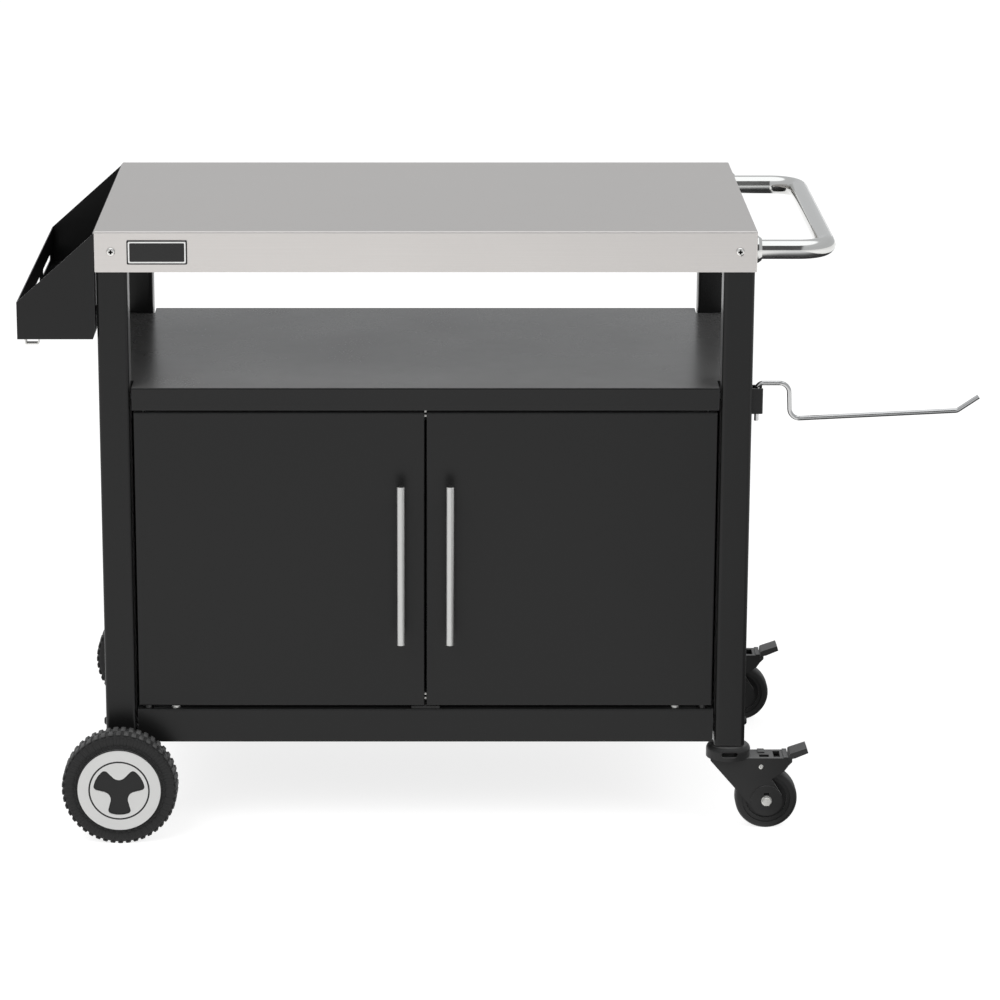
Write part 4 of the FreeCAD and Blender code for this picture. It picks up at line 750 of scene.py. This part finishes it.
class Growth(Nodes):
    """A geometry tree with named inputs, which ends in one plain mesh."""

    def __init__(self, name: str) -> None:
        """Start the tree.

        Args:
            name: the tree's name.
        """
        super().__init__(bpy.data.node_groups.new(name, "GeometryNodeTree"))
        for way in ("INPUT", "OUTPUT"):
            self.tree.interface.new_socket("Geometry", in_out=way,
                                           socket_type="NodeSocketGeometry")
        self.entry = self.add("NodeGroupInput")
        self.exit = self.add("NodeGroupOutput")

    def takes(self, name: str, kind: str = "Float") -> bpy.types.NodeSocket:
        """Declare a named Float, Int, Object or Material input."""
        self.tree.interface.new_socket(name, in_out="INPUT", socket_type="NodeSocket" + kind)
        return self.entry.outputs[name]

    def spaced_round(self, count: Value, radius: Value, height: Value, turn: Value,
                     shape: Value) -> bpy.types.NodeSocket:
        """Stand copies of an object on a circle, each facing away from the axle.

        Args:
            count: how many.
            radius: distance of their origins from the axle.
            height: their place along the axle.
            turn: the angle of the first, in radians.
            shape: the object that is copied.

        Returns:
            The copies, as one mesh.
        """
        ring = self.add("GeometryNodeMeshCircle", {"Vertices": count, "Radius": radius})
        outward = self.add("FunctionNodeAlignRotationToVector", {
            "Vector": self.add("GeometryNodeInputPosition").outputs[0]}, axis="X",
            pivot_axis="Z")
        copied = self.add("GeometryNodeObjectInfo", {"Object": shape})
        stood = self.add("GeometryNodeInstanceOnPoints", {
            "Points": ring.outputs["Mesh"], "Instance": copied.outputs["Geometry"],
            "Rotation": outward.outputs[0]})
        lifted = self.add("ShaderNodeCombineXYZ", {"Z": height})
        rotated = self.add("ShaderNodeCombineXYZ", {"Z": turn})
        moved = self.add("GeometryNodeTransform", {
            "Geometry": stood.outputs[0], "Translation": lifted.outputs[0],
            "Rotation": rotated.outputs[0]})
        return moved.outputs[0]

    def close(self, parts: Sequence[bpy.types.NodeSocket], finish: bpy.types.NodeSocket) -> None:
        """Join the parts, make them real and give them the finish.

        Args:
            parts: the outputs that are joined.
            finish: the socket that gives the material.
        """
        together = self.add("GeometryNodeJoinGeometry")
        for part in parts:
            self.tree.links.new(part, together.inputs[0])
        real = self.add("GeometryNodeRealizeInstances", {0: together.outputs[0]})
        painted = self.add("GeometryNodeSetMaterial", {
            "Geometry": real.outputs[0], "Material": finish})
        self.feed(self.exit.inputs[0], painted.outputs[0])

    def grow(self, name: str, start: bpy.types.Mesh, place: Matrix,
             **values: Value) -> bpy.types.Object:
        """Run the tree on a mesh and keep what comes out as a plain mesh.

        Args:
            name: the new piece's name.
            start: the mesh that the tree starts from.
            place: where the result goes.
            values: the tree's inputs, with an underscore for each space.

        Returns:
            The piece.
        """
        made = piece(name, start)
        modifier = made.modifiers.new(name, "NODES")
        modifier.node_group = self.tree
        for item in self.tree.interface.items_tree:
            key = item.name.replace(" ", "_")
            if item.in_out == "INPUT" and key in values:
                modifier[item.identifier] = values[key]
        result = shown_mesh(made)
        made.modifiers.clear()
        made.data = result
        result.transform(place)
        result.name = name
        bpy.data.meshes.remove(start)
        return made


def tyre_growth() -> Growth:
    """Make the tree that sets two rows of lugs and one of side ribs on a tyre.

    Returns:
        The tree.
    """
    growth = Growth("lugged_tyre")
    lug, rib = (growth.takes(name, "Object") for name in ("Lug", "Rib"))
    count = growth.takes("Count", "Int")
    tread, side, near, far, face, half = (growth.takes(name) for name in (
        "Tread Radius", "Rib Radius", "Near Row", "Far Row", "Rib Height", "Half Pitch"))
    finish = growth.takes("Finish", "Material")
    growth.close((
        growth.entry.outputs["Geometry"],
        growth.spaced_round(count, tread, near, 0.0, lug),
        growth.spaced_round(count, tread, far, half, lug),
        growth.spaced_round(count, side, face, half, rib)), finish)
    return growth


def fastener_growth() -> Growth:
    """Make the tree that sets a fastener on each vertex, along the vertex's own direction.

    Returns:
        The tree.
    """
    growth = Growth("set_fasteners")
    shape = growth.takes("Fastener", "Object")
    finish = growth.takes("Finish", "Material")
    facing = growth.add("GeometryNodeInputNamedAttribute", {"Name": "facing"},
                        data_type="FLOAT_VECTOR")
    upright = growth.add("FunctionNodeAlignRotationToVector", {
        "Vector": facing.outputs[0]}, axis="Z")
    copied = growth.add("GeometryNodeObjectInfo", {"Object": shape})
    stood = growth.add("GeometryNodeInstanceOnPoints", {
        "Points": growth.entry.outputs["Geometry"], "Instance": copied.outputs["Geometry"],
        "Rotation": upright.outputs[0]})
    growth.close((stood.outputs[0],), finish)
    return growth


@dataclass
class Fasteners:
    """Screws and bolts: each kind is modelled once and set by a geometry tree.

    The outlines of the other heads are in shares of the head's own radius and height.
    """

    growth: Growth = field(default_factory=fastener_growth)
    segments: int = 40
    head_radius: float = 0.0058
    head_height: float = 0.0028
    head_edge: float = 0.0008
    head_shoulder: Point = (0.0044, 0.0025)
    head_round: float = 0.0007
    recess_length: float = 0.0058
    recess_width: float = 0.0024
    recess_floor: float = 0.0009
    cutter_height: float = 0.0040
    # Size of the dark cross of painted shade laid in each recess.
    lining_height: float = 0.0010
    lining_gap: float = 0.0001
    bar_cut: float = 0.0002
    hexagon: tuple[Point, ...] = ((0.0, 0.15), (1.0, 0.15), (1.0, 0.85), (0.86, 1.0), (0.0, 1.0))
    washer: tuple[Point, ...] = ((0.0, 0.0), (1.06, 0.0), (1.06, 0.2), (0.0, 0.2))
    washer_round: float = 0.0003
    socketed: tuple[Point, ...] = ((0.0, 0.0), (1.0, 0.0), (1.0, 1.0), (0.5, 1.0), (0.4, 0.7),
                                   (0.0, 0.7))
    domed: tuple[Point, ...] = ((0.0, 0.0), (1.0, 0.0), (0.96, 0.55), (0.6, 1.0), (0.35, 1.0),
                                (0.25, 0.75), (0.0, 0.7))
    dome_round: float = 0.2
    shank_lap: float = 0.0002
    shank_round: float = 0.0004

    def cross(self, gap: float, height: float) -> list[bpy.types.Mesh]:
        """Make the two bars of a cross that stands on the floor of the recess.

        Args:
            gap: how much shorter and narrower than the recess the bars are.
            height: of the bars.

        Returns:
            The bars.
        """
        length, width = self.recess_length - gap, self.recess_width - gap
        bars = [block("bar", (*sides, height), self.bar_cut)
                for sides in ((length, width), (width, length))]
        for bar in bars:
            bar.transform(Matrix.Translation((0.0, 0.0, self.recess_floor + height / 2)))
        return bars

    def pan_head(self) -> bpy.types.Mesh:
        """Make a pan head with a cross recess.

        Returns:
            The mesh, its seat at the origin and +Z outwards.
        """
        rim = self.head_radius
        head = turned("pan_head", soften((
            (0.0, 0.0), (rim, 0.0), (rim, self.head_edge), self.head_shoulder,
            (0.0, self.head_height)), self.head_round), self.segments)
        return self.cut(head, self.cross(0.0, self.cutter_height))

    def lining(self) -> bpy.types.Mesh:
        """Make a dark cross of painted shade for the floor of a cross recess, in its place in a
        pan head.
        """
        return joined("lining", self.cross(self.lining_gap, self.lining_height))

    def hex_head(self, radius: float, height: float) -> bpy.types.Mesh:
        """Make a hexagon head on a washer face.

        Args:
            radius: from the middle to a corner.
            height: of the whole head.

        Returns:
            The mesh, its seat at the origin and +Z outwards.
        """
        head = turned("hexagon", scaled(self.hexagon, radius, height), segments=6)
        washer = turned("washer", soften(scaled(self.washer, radius, height), self.washer_round),
                        segments=48)
        return joined("hex_head", (head, washer))

    def button(self, radius: float, height: float) -> bpy.types.Mesh:
        """Make a tall round head with a rounded top edge and a shallow socket.

        Args:
            radius: of the head.
            height: of the whole head.

        Returns:
            The mesh, its seat at the origin and +Z outwards.
        """
        outline = soften(scaled(self.socketed, radius, height), self.head_round)
        return turned("button", outline, self.segments)

    def rivet_head(self, radius: float, height: float) -> bpy.types.Mesh:
        """Make a domed rivet head with a small dimple.

        Args:
            radius: of the head.
            height: of the whole head.

        Returns:
            The mesh, its seat at the origin and +Z outwards.
        """
        outline = soften(scaled(self.domed, radius, height), radius * self.dome_round)
        return turned("rivet_head", outline, self.segments)

    def bolt(self, head: bpy.types.Mesh, length: float, radius: float = 0.0022) -> bpy.types.Mesh:
        """Put a head on a plain shank, which reaches from the seat inwards.

        Args:
            head: the head's mesh.
            length: of the shank.
            radius: of the shank.

        Returns:
            The mesh, its seat at the origin and +Z outwards.
        """
        shank = turned("shank", soften((
            (0.0, -length), (radius, -length), (radius, self.shank_lap), (0.0, self.shank_lap)),
            self.shank_round), segments=24)
        return joined("bolt", (head, shank))

    def cut(self, mesh: bpy.types.Mesh, cutters: Sequence[bpy.types.Mesh]) -> bpy.types.Mesh:
        """Take cutters out of a mesh.

        Args:
            mesh: what is cut.
            cutters: what is taken out.

        Returns:
            The cut mesh.
        """
        whole = piece("whole", mesh)
        tools = [piece("cutter", cutter) for cutter in cutters]
        for tool in tools:
            modifier = whole.modifiers.new("cut", "BOOLEAN")
            modifier.operation = "DIFFERENCE"
            modifier.solver = "EXACT"
            modifier.object = tool
        result = shown_mesh(whole)
        for tool in (whole, *tools):
            bpy.data.objects.remove(tool)
        return result

    def set(self, name: str, shape: bpy.types.Mesh, finish: Finish, places: Sequence[Seat],
            slot: str = "zinc_fixings", body: str = "cart", stands_for: str = "") -> None:
        """Set copies of a fastener as one piece.

        Args:
            name: the new piece's name.
            shape: the fastener, its seat at the origin and +Z outwards.
            finish: its finish.
            places: for each copy its seat and its outward direction.
            slot: the name of a material slot; not used.
            body: the body that carries the piece.
            stands_for: the solid that it is shown in place of.
        """
        spots = bpy.data.meshes.new(name + "_spots")
        spots.from_pydata([seat for seat, _ in places], [], [])
        facing = spots.attributes.new("facing", "FLOAT_VECTOR", "POINT")
        for index, (_, direction) in enumerate(places):
            facing.data[index].vector = direction
        model = piece(name + "_model", shape)
        made = self.growth.grow(name, spots, Matrix(), Fastener=model, Finish=finish.material())
        bpy.data.objects.remove(model)
        fit(made, body, stands_for=stands_for)


def ends_of(node: str, axis: int) -> list[Vector]:
    """Find the middle of each loose part of a solid, at its outer end along an axis.

    Args:
        node: the solid's name.
        axis: 0, 1 or 2 for X, Y or Z; the outer end is away from the cart's middle.

    Returns:
        One point for each loose part.
    """
    work = bmesh.new()
    work.from_mesh(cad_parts[node].data)
    bmesh.ops.remove_doubles(work, verts=work.verts, dist=SOLID_WELD_GAP)
    middle = (CAD_BOX[0][axis] + CAD_BOX[1][axis]) / 2
    left = set(work.verts)
    found = []
    while left:
        group, edge = [], [left.pop()]
        while edge:
            vertex = edge.pop()
            group.append(vertex.co.copy())
            for link in vertex.link_edges:
                other = link.other_vert(vertex)
                if other in left:
                    left.remove(other)
                    edge.append(other)
        low = Vector(min(point[each] for point in group) for each in range(3))
        high = Vector(max(point[each] for point in group) for each in range(3))
        spot = (low + high) / 2
        spot[axis] = high[axis] if spot[axis] > middle else low[axis]
        found.append(spot)
    work.free()
    return found


@dataclass
class Worktop:
    """Folded stainless top with its channels, its screws and a bare badge plate."""

    fasteners: Fasteners
    badge_left: float = 0.0425
    badge_width: float = 0.0775
    badge_height: float = 0.0315
    badge_drop: float = 0.0270
    badge_root: float = -0.0002
    badge_sheet: float = 0.0012
    badge_round: float = 0.0018
    line_insets: Point = (0.0018, 0.0036)
    line_levels: Point = (-0.0004, 0.0002)
    screw_length: float = 0.011

    def build(self) -> None:
        """Dress the solids and add the badge and the screws."""
        dress(STAINLESS, "table_top", "top_channel_front", "top_channel_rear")
        self.add_badge()
        self.add_screws()

    def badge_outline(self, inset: float) -> list[Point]:
        """Draw the badge's rounded outline.

        Args:
            inset: how far it is drawn in on every side.

        Returns:
            The outline, round the badge's middle.
        """
        across = self.badge_width / 2 - inset
        up = self.badge_height / 2 - inset
        corners = ((-across, -up), (across, -up), (across, up), (-across, up))
        return soften(corners, self.badge_round)

    def add_badge(self) -> None:
        """Fix the bare plate, with a pale line just inside its edge, to the front of the top."""
        low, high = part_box("table_top")
        middle = (low.x + self.badge_left + self.badge_width / 2, low.y, high.z - self.badge_drop)
        place = Matrix.Translation(middle) @ Matrix.Rotation(math.pi / 2, 4, "X")
        face = plate("badge_face", self.badge_outline(0.0), self.badge_root, self.badge_sheet)
        fit(piece("badge_face", face, place), "cart", BADGE_FACE)
        outer, inner = (self.badge_outline(inset) for inset in self.line_insets)
        levels = (self.badge_sheet + level for level in self.line_levels)
        line = plate("badge_line", outer, *levels, inner)
        fit(piece("badge_line", line, place), "cart", BADGE_LINE)

    def add_screws(self) -> None:
        """Set pan-head screws at the top's corners, with dark crosses of painted shade in their
        recesses.
        """
        shop = self.fasteners
        places = []
        for end in ends_of("top_screws", 1):
            outward = Vector((0.0, math.copysign(1.0, end.y), 0.0))
            places.append((end - outward * shop.head_height, outward))
        shop.set("pan_head_screws", shop.bolt(shop.pan_head(), self.screw_length), SCREW, places,
                 stands_for="top_screws")
        # A dark cross in each recess is painted shade, standing in for the shadow inside it.
        shop.set("screw_recesses", shop.lining(), PAINTED_RECESS_SHADE, places, "dark_fixings")


@dataclass
class Frame:
    """Legs, shelf, cabinet floor, sides and back, with their bolts and plugs."""

    fasteners: Fasteners
    guide_radius: float = 0.0058
    guide_height: float = 0.004
    guide_length: float = 0.011
    screw_columns: int = 4
    screw_edge: float = 0.035
    screw_length: float = 0.0015
    upper_row: float = 0.015
    lower_row: float = 0.022
    nut_radius: float = 0.0056
    nut_height: float = 0.0038
    nut_depth: float = 0.0010

    def add_guides(self) -> None:
        """Set tall heads in the cabinet floor's front edge, under the doors."""
        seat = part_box("floor_screws")[1].z - self.guide_height
        places = [(Vector((end.x, end.y, seat)), Vector((0.0, 0.0, 1.0)))
                  for end in ends_of("floor_screws", 2)]
        head = self.fasteners.button(self.guide_radius, self.guide_height)
        self.fasteners.set("floor_guides", self.fasteners.bolt(head, self.guide_length), GUIDE,
                           places, stands_for="floor_screws")

    def add_back_screws(self) -> None:
        """Set two rows of pan-head screws through the back panel into shelf and floor."""
        low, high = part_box("back_panel")
        pitch = (high.x - low.x - 2 * self.screw_edge) / (self.screw_columns - 1)
        places = [(Vector((low.x + self.screw_edge + column * pitch, high.y, height)),
                   Vector((0.0, 1.0, 0.0)))
                  for height in (high.z - self.upper_row, low.z + self.lower_row)
                  for column in range(self.screw_columns)]
        screw = self.fasteners.bolt(self.fasteners.pan_head(), self.screw_length)
        self.fasteners.set("back_screws", screw, DARK_STEEL, places, "dark_fixings")

    def add_cap_nuts(self) -> None:
        """Cap the floor's bolts where they come out of the legs."""
        low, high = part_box("floor_panel")
        height = (low.z + high.z) / 2
        places = []
        for end in End:
            for side, outward in (("left", -1.0), ("right", 1.0)):
                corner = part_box(f"leg_{end.word}_{side}")
                seat = (corner[outward > 0].x, (corner[0].y + corner[1].y) / 2, height)
                places.append((Vector(seat), Vector((outward, 0.0, 0.0))))
        nut = self.fasteners.rivet_head(self.nut_radius, self.nut_height)
        self.fasteners.set("cap_nuts", self.fasteners.bolt(nut, self.nut_depth), DARK_STEEL,
                           places, "dark_fixings")

    def build(self) -> None:
        """Dress the powder-coated sheet and tube, and the small moulded pieces."""
        self.add_guides()
        self.add_back_screws()
        self.add_cap_nuts()
        dress(POWDER, *(f"leg_{end.word}_{side}" for end in End for side in ("left", "right")))
        dress(DECK, "mid_shelf")
        dress(POWDER, "floor_panel", "side_panel_left", "side_panel_right", "back_panel")
        dress(PLASTIC, "leg_plugs", "caster_inserts")
        dress(DARK_STEEL, "shelf_fixings")


@dataclass
class Cabinet:
    """Doors with their handles, and the catches and pins that they close and turn on."""

    def build(self) -> None:
        """Dress the doors and what they meet."""
        for side in ("left", "right"):
            dress(POWDER, f"door_{side}_panel")
            dress(BAR, f"door_{side}_handle")
            dress(ZINC, f"door_{side}_strikes")
        dress(DARK_STEEL, "hinge_pins")
        dress(ZINC, "catch_plates")
        dress(PLASTIC, "upper_catch", "lower_catch")


@dataclass
class SideTray:
    """Slotted tray with its end plates, its strap loop and its bolts."""

    def build(self) -> None:
        """Dress the tray and its bolts."""
        dress(TROUGH, "tray_trough")
        dress(POWDER, "tray_end_front", "tray_end_rear")
        dress(ZINC, "tray_loop")
        dress(DARK_STEEL, "tray_fixings")


@dataclass
class PushHandle:
    """Chrome tube between two bell flanges."""

    def build(self) -> None:
        """Dress the tube, its flanges and its bolts."""
        dress(CHROME, "push_handle", "handle_flanges")
        dress(ZINC, "handle_bolts")


@dataclass
class SwingingHook:
    """Bent rod in its socket."""

    def build(self) -> None:
        """Dress the rod and the socket."""
        dress(ROD, "hook_rod")
        dress(POWDER, "hook_socket")


@dataclass
class BigWheel:
    """Lugged wheel on a bolt: tyre, hub, cap and bright trim disc."""

    end: End
    growth: Growth
    rim_radius: float = 0.05705
    tread_radius: float = 0.0745
    width: float = 0.034
    bead_line: tuple[Point, ...] = ((0.0, 0.0), (0.0030, 0.0), (0.0033, 0.0005),
                                    (0.0040, 0.0005), (0.0043, 0.0))
    shoulder: tuple[Point, ...] = ((0.0045, 0.0), (0.0012, 0.0016), (0.0, 0.0050))
    shoulder_round: float = 0.0010
    lug_count: int = 46
    lug_width: float = 0.0068
    lug_height: float = 0.0030
    lug_edge: float = 0.0008
    lug_cut: float = 0.0011
    row_gap: float = 0.0016
    row_shift: float = 0.0002
    rib_size: tuple[float, ...] = (0.0130, 0.0052, 0.0022)
    rib_cut: float = 0.0009
    rib_drop: float = 0.0025
    rib_sink: float = 0.0004
    clearance: float = 0.0001
    line_radius: float = 0.0393
    line_width: float = 0.0022
    line_levels: Point = (-0.00078, -0.0002)
    segments: int = 144

    def place(self) -> Matrix:
        """Find the wheel's place.

        Returns:
            The place: its own Z points away from the cart, and is 0 at the inner side.
        """
        low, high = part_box(f"wheel_{self.end.word}_tyre")
        inner = high.y if self.end is End.FRONT else low.y
        turn = Matrix.Rotation(math.pi / 2, 4, "X")
        if self.end is End.REAR:
            turn = Matrix.Rotation(math.pi, 4, "Z") @ turn
        return Matrix.Translation((WHEEL_CENTRE[0], inner, WHEEL_CENTRE[1])) @ turn

    def carcass(self) -> bpy.types.Mesh:
        """Turn the tyre's body, with rounded shoulders and a bead line on each side.

        Returns:
            The mesh.
        """
        half = [(self.rim_radius + out, depth) for out, depth in self.bead_line]
        half += [(self.tread_radius - drop, depth) for drop, depth in self.shoulder]
        other = [(radius, self.width - depth) for radius, depth in reversed(half)]
        outline = soften((*half, *other), self.shoulder_round, steps=3)
        return turned("carcass", outline, self.segments)

    def lug(self) -> bpy.types.Mesh:
        """Make one lug with cut edges."""
        length = (self.width - self.row_gap) / 2 - self.lug_edge
        return block("lug", (self.lug_height, self.lug_width, length), self.lug_cut)

    def add_line(self) -> None:
        """Fill the trim disc's ring groove with a thin dark line."""
        low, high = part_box(f"wheel_{self.end.word}_trim")
        depth = abs(high.y if self.end is End.REAR else low.y) - abs(self.place().translation.y)
        outer, inner = (circle(self.line_radius + side * self.line_width / 2, self.segments)
                        for side in (1, -1))
        levels = (depth + level for level in self.line_levels)
        line = plate("line", outer, *levels, inner)
        fit(piece(f"trim_line_{self.end.word}", line, self.place()), f"{self.end.word}_wheel",
            PLASTIC)

    def build(self) -> None:
        """Grow the tyre and dress the rest of the wheel."""
        word = self.end.word
        low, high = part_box(f"wheel_{word}_tyre")
        lug = piece("lug_model", self.lug())
        rib = piece("rib_model", block("rib", self.rib_size, self.rib_cut))
        row = self.lug_edge / 2 + (self.width - self.row_gap) / 4 + self.row_shift
        tyre = self.growth.grow(
            f"lugged_tyre_{word}", self.carcass(), self.place(), Lug=lug, Rib=rib,
            Count=self.lug_count, Half_Pitch=math.pi / self.lug_count,
            Tread_Radius=(high.x - low.x - self.lug_height) / 2 - self.clearance,
            Rib_Radius=self.tread_radius - self.rib_drop - self.rib_size[0] / 2,
            Near_Row=row, Far_Row=self.width - row, Rib_Height=self.width - self.rib_sink,
            Finish=TYRE.material())
        bpy.data.objects.remove(lug)
        bpy.data.objects.remove(rib)
        fit(tyre, f"{word}_wheel", stands_for=f"wheel_{word}_tyre")
        dress(PLASTIC, f"wheel_{word}_hub", f"wheel_{word}_cap")
        dress(DISC, f"wheel_{word}_trim")
        self.add_line()


@dataclass
class Caster:
    """Braked swivel caster: fork, wheel, axle bolt, pedal and its pin."""

    end: End
    fasteners: Fasteners
    axle_head: Point = (0.00675, 0.005)
    axle_shank: float = 0.004
    pin_head: Point = (0.00335, 0.0012)
    pin_shank: float = 0.002

    def build(self) -> None:
        """Dress the mouldings and set the hexagon and rivet heads."""
        word = self.end.word
        dress(FORK, f"caster_{word}_fork", f"caster_{word}_hub")
        dress(CASTER_TYRE, f"caster_{word}_tyre")
        dress(PEDAL, f"caster_{word}_pedal")
        self.add_heads("axle", self.fasteners.hex_head(*self.axle_head), self.axle_head[1],
                       self.axle_shank)
        self.add_heads("pin", self.fasteners.rivet_head(*self.pin_head), self.pin_head[1],
                       self.pin_shank)

    def add_heads(self, part: str, head: bpy.types.Mesh, height: float, shank: float) -> None:
        """Show a bolt or pin with a head at each end, in place of its solid.

        Args:
            part: the solid's own part of its name.
            head: one head's mesh.
            height: of each head.
            shank: the radius between the heads.
        """
        node = f"caster_{self.end.word}_{part}"
        low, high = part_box(node)
        half = (high.y - low.y) / 2 - height
        places = [((low + high) / 2 + Vector((0.0, side * half, 0.0)), Vector((0.0, side, 0.0)))
                  for side in (-1.0, 1.0)]
        self.fasteners.set(node + "_heads", self.fasteners.bolt(head, half, shank), ZINC, places,
                           body=f"{self.end.word}_caster", stands_for=node)


@dataclass
class Studio:
    """Pale floor, soft light and the camera.

    Metal mirrors a sky that changes with height, one dark flag in it, and a dim strip of floor.
    """

    camera_back: float = 5.130
    camera_rise: float = 0.9659
    camera_pitch: float = 15.552
    sensor: float = 36.0
    lens: float = 139.79
    shift: Point = (0.07448, 0.0274)
    floor_size: float = 40.0
    floor_glow: float = 0.8
    floor_paint: float = 0.4
    sky: tuple[Point, ...] = ((0.0, 0.425), (1.0, 1.0), (0.4, 0.416), (0.78, 0.45), (0.84, 1.0))
    sky_gain: float = 1.5
    sky_light: float = 0.62
    strip_side: Point = (0.345, 1.2)
    strip_edge: float = 0.03
    strip_fan: float = 0.09
    strip_reach: Point = (-4.0, 4.0)
    strip: tuple[Point, ...] = ((0.0, 0.74), (1.0, 0.5), (0.25, 0.68), (0.33, 0.45), (0.39, 0.22),
                                (0.43, 0.1), (0.465, 0.04), (0.66, 0.05), (0.71, 0.5))
    flag: tuple[Point, ...] = ((0.055, 0.26), (-2.0, 0.0), (0.04, 0.80))
    flag_edges: tuple[float, ...] = (0.05, 0.05, 0.03)
    flag_tone: Colour = (0.05, 0.05, 0.05)
    aim: tuple[float, ...] = (0.0, 0.0, 0.45)

    def build(self) -> None:
        """Set the whole studio up."""
        scene = bpy.context.scene
        scene.view_settings.view_transform = "Standard"
        self.add_camera(scene)
        self.add_world(scene)
        self.add_floor()
        self.add_lamp("key_softbox", place=(-1.9, -2.6, 3.1), size=2.6, power=80.0)
        self.add_lamp("fill_softbox", place=(2.6, -1.6, 2.2), size=2.2, power=40.0)

    def add_camera(self, scene: bpy.types.Scene) -> None:
        """Stand the camera where the photograph was taken from.

        Args:
            scene: the scene that uses it.
        """
        data = bpy.data.cameras.new("photo_camera")
        data.sensor_width = self.sensor
        data.lens = self.lens
        data.shift_x, data.shift_y = self.shift
        camera = bpy.data.objects.new("photo_camera", data)
        low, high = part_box("table_top")
        camera.location = ((low.x + high.x) / 2, -self.camera_back, high.z + self.camera_rise)
        camera.rotation_euler = (math.radians(90.0 - self.camera_pitch), 0.0, 0.0)
        scene.collection.objects.link(camera)
        scene.camera = camera

    def add_world(self, scene: bpy.types.Scene) -> None:
        """Light the cart evenly, and show the camera and the metal a white studio.

        Args:
            scene: the scene that uses the world.
        """
        world = bpy.data.worlds.new("studio")
        world.use_nodes = True
        scene.world = world
        world.node_tree.nodes.clear()
        nodes = Nodes(world.node_tree)
        path = nodes.add("ShaderNodeLightPath").outputs
        way = nodes.add("ShaderNodeSeparateXYZ", {
            0: nodes.add("ShaderNodeTexCoord").outputs["Generated"]}).outputs
        flag = nodes.product(*(nodes.window(way[axis], limits, edge) for axis, limits, edge in zip(
            "XYZ", self.flag, self.flag_edges)))
        flagged = nodes.blend(flag, nodes.ramp(way["Z"], self.sky), self.flag_tone)
        plain = nodes.blend(path["Is Camera Ray"], flagged, shade(WHITE, 1.0 / self.sky_gain))
        shown = nodes.add("ShaderNodeBackground", {"Color": plain, "Strength": self.sky_gain})
        light = nodes.add("ShaderNodeBackground", {
            "Color": (*WHITE, 1.0), "Strength": self.sky_light})
        seen = nodes.sum("MAXIMUM", path["Is Camera Ray"], path["Is Glossy Ray"])
        seen = nodes.sum("MAXIMUM", seen, path["Is Transmission Ray"])
        mixed = nodes.add("ShaderNodeMixShader", {
            0: seen, 1: light.outputs[0], 2: shown.outputs[0]})
        nodes.add("ShaderNodeOutputWorld", {"Surface": mixed.outputs[0]})

    def paint_floor(self) -> bpy.types.Material:
        """Make a floor paint that glows for the camera and the metal, and keeps shadows.

        Returns:
            The material.
        """
        material = bpy.data.materials.new("floor_paint")
        material.use_nodes = True
        material.node_tree.nodes.clear()
        nodes = Nodes(material.node_tree)
        path = nodes.add("ShaderNodeLightPath").outputs
        place = nodes.add("ShaderNodeSeparateXYZ", {
            0: nodes.add("ShaderNodeTexCoord").outputs["Object"]}).outputs
        fanned = nodes.sum("MULTIPLY_ADD", nodes.sum("ABSOLUTE", place["Y"]), -self.strip_fan,
                           place["X"])
        share = nodes.product(nodes.window(fanned, self.strip_side, self.strip_edge),
                              path["Is Glossy Ray"])
        along = nodes.spread(place["Y"], 0.0, 1.0, *self.strip_reach)
        dimmed = nodes.blend(share, WHITE, nodes.ramp(along, self.strip))
        seen = nodes.sum("MAXIMUM", path["Is Camera Ray"], path["Is Glossy Ray"])
        glow = nodes.add("ShaderNodeEmission", {
            "Color": dimmed, "Strength": nodes.sum("MULTIPLY", seen, self.floor_glow)})
        colour = nodes.blend(1.0, dimmed, shade(WHITE, self.floor_paint), "MULTIPLY")
        paint = nodes.add("ShaderNodeBsdfDiffuse", {"Color": colour})
        both = nodes.add("ShaderNodeAddShader", {0: glow.outputs[0], 1: paint.outputs[0]})
        nodes.add("ShaderNodeOutputMaterial", {"Surface": both.outputs[0]})
        return material

    def add_floor(self) -> None:
        """Lay a pale floor that keeps the cart's shadow."""
        half = self.floor_size / 2
        mesh = bpy.data.meshes.new("floor")
        mesh.from_pydata([(-half, -half, 0), (half, -half, 0), (half, half, 0), (-half, half, 0)],
                         [], [(0, 1, 2, 3)])
        mesh.materials.append(self.paint_floor())
        floor = bpy.data.objects.new("floor", mesh)
        bpy.context.scene.collection.objects.link(floor)

    def add_lamp(self, name: str, place: Sequence[float], size: float, power: float) -> None:
        """Hang a softbox that faces the middle of the cart.

        Args:
            name: the lamp's name.
            place: where it hangs.
            size: the length of its sides.
            power: in watts.
        """
        data = bpy.data.lights.new(name, "AREA")
        data.shape = "SQUARE"
        data.size = size
        data.energy = power
        lamp = bpy.data.objects.new(name, data)
        lamp.visible_glossy = False
        lamp.location = place
        way = Vector(self.aim) - Vector(place)
        lamp.rotation_euler = way.to_track_quat("-Z", "Y").to_euler()
        bpy.context.scene.collection.objects.link(lamp)


def main() -> None:
    """Build the cart's looks, from the studio down to the casters."""
    logging.basicConfig(level=logging.INFO, format="%(name)s: %(message)s")
    Studio().build()
    fasteners = Fasteners()
    Worktop(fasteners).build()
    Frame(fasteners).build()
    Cabinet().build()
    SideTray().build()
    PushHandle().build()
    SwingingHook().build()
    dress(ZINC, "wheel_axles")
    dress(DARK_STEEL, "caster_stems")
    tyres = tyre_growth()
    for end in End:
        BigWheel(end, tyres).build()
        Caster(end, fasteners).build()


if __name__ == "__main__":
    main()
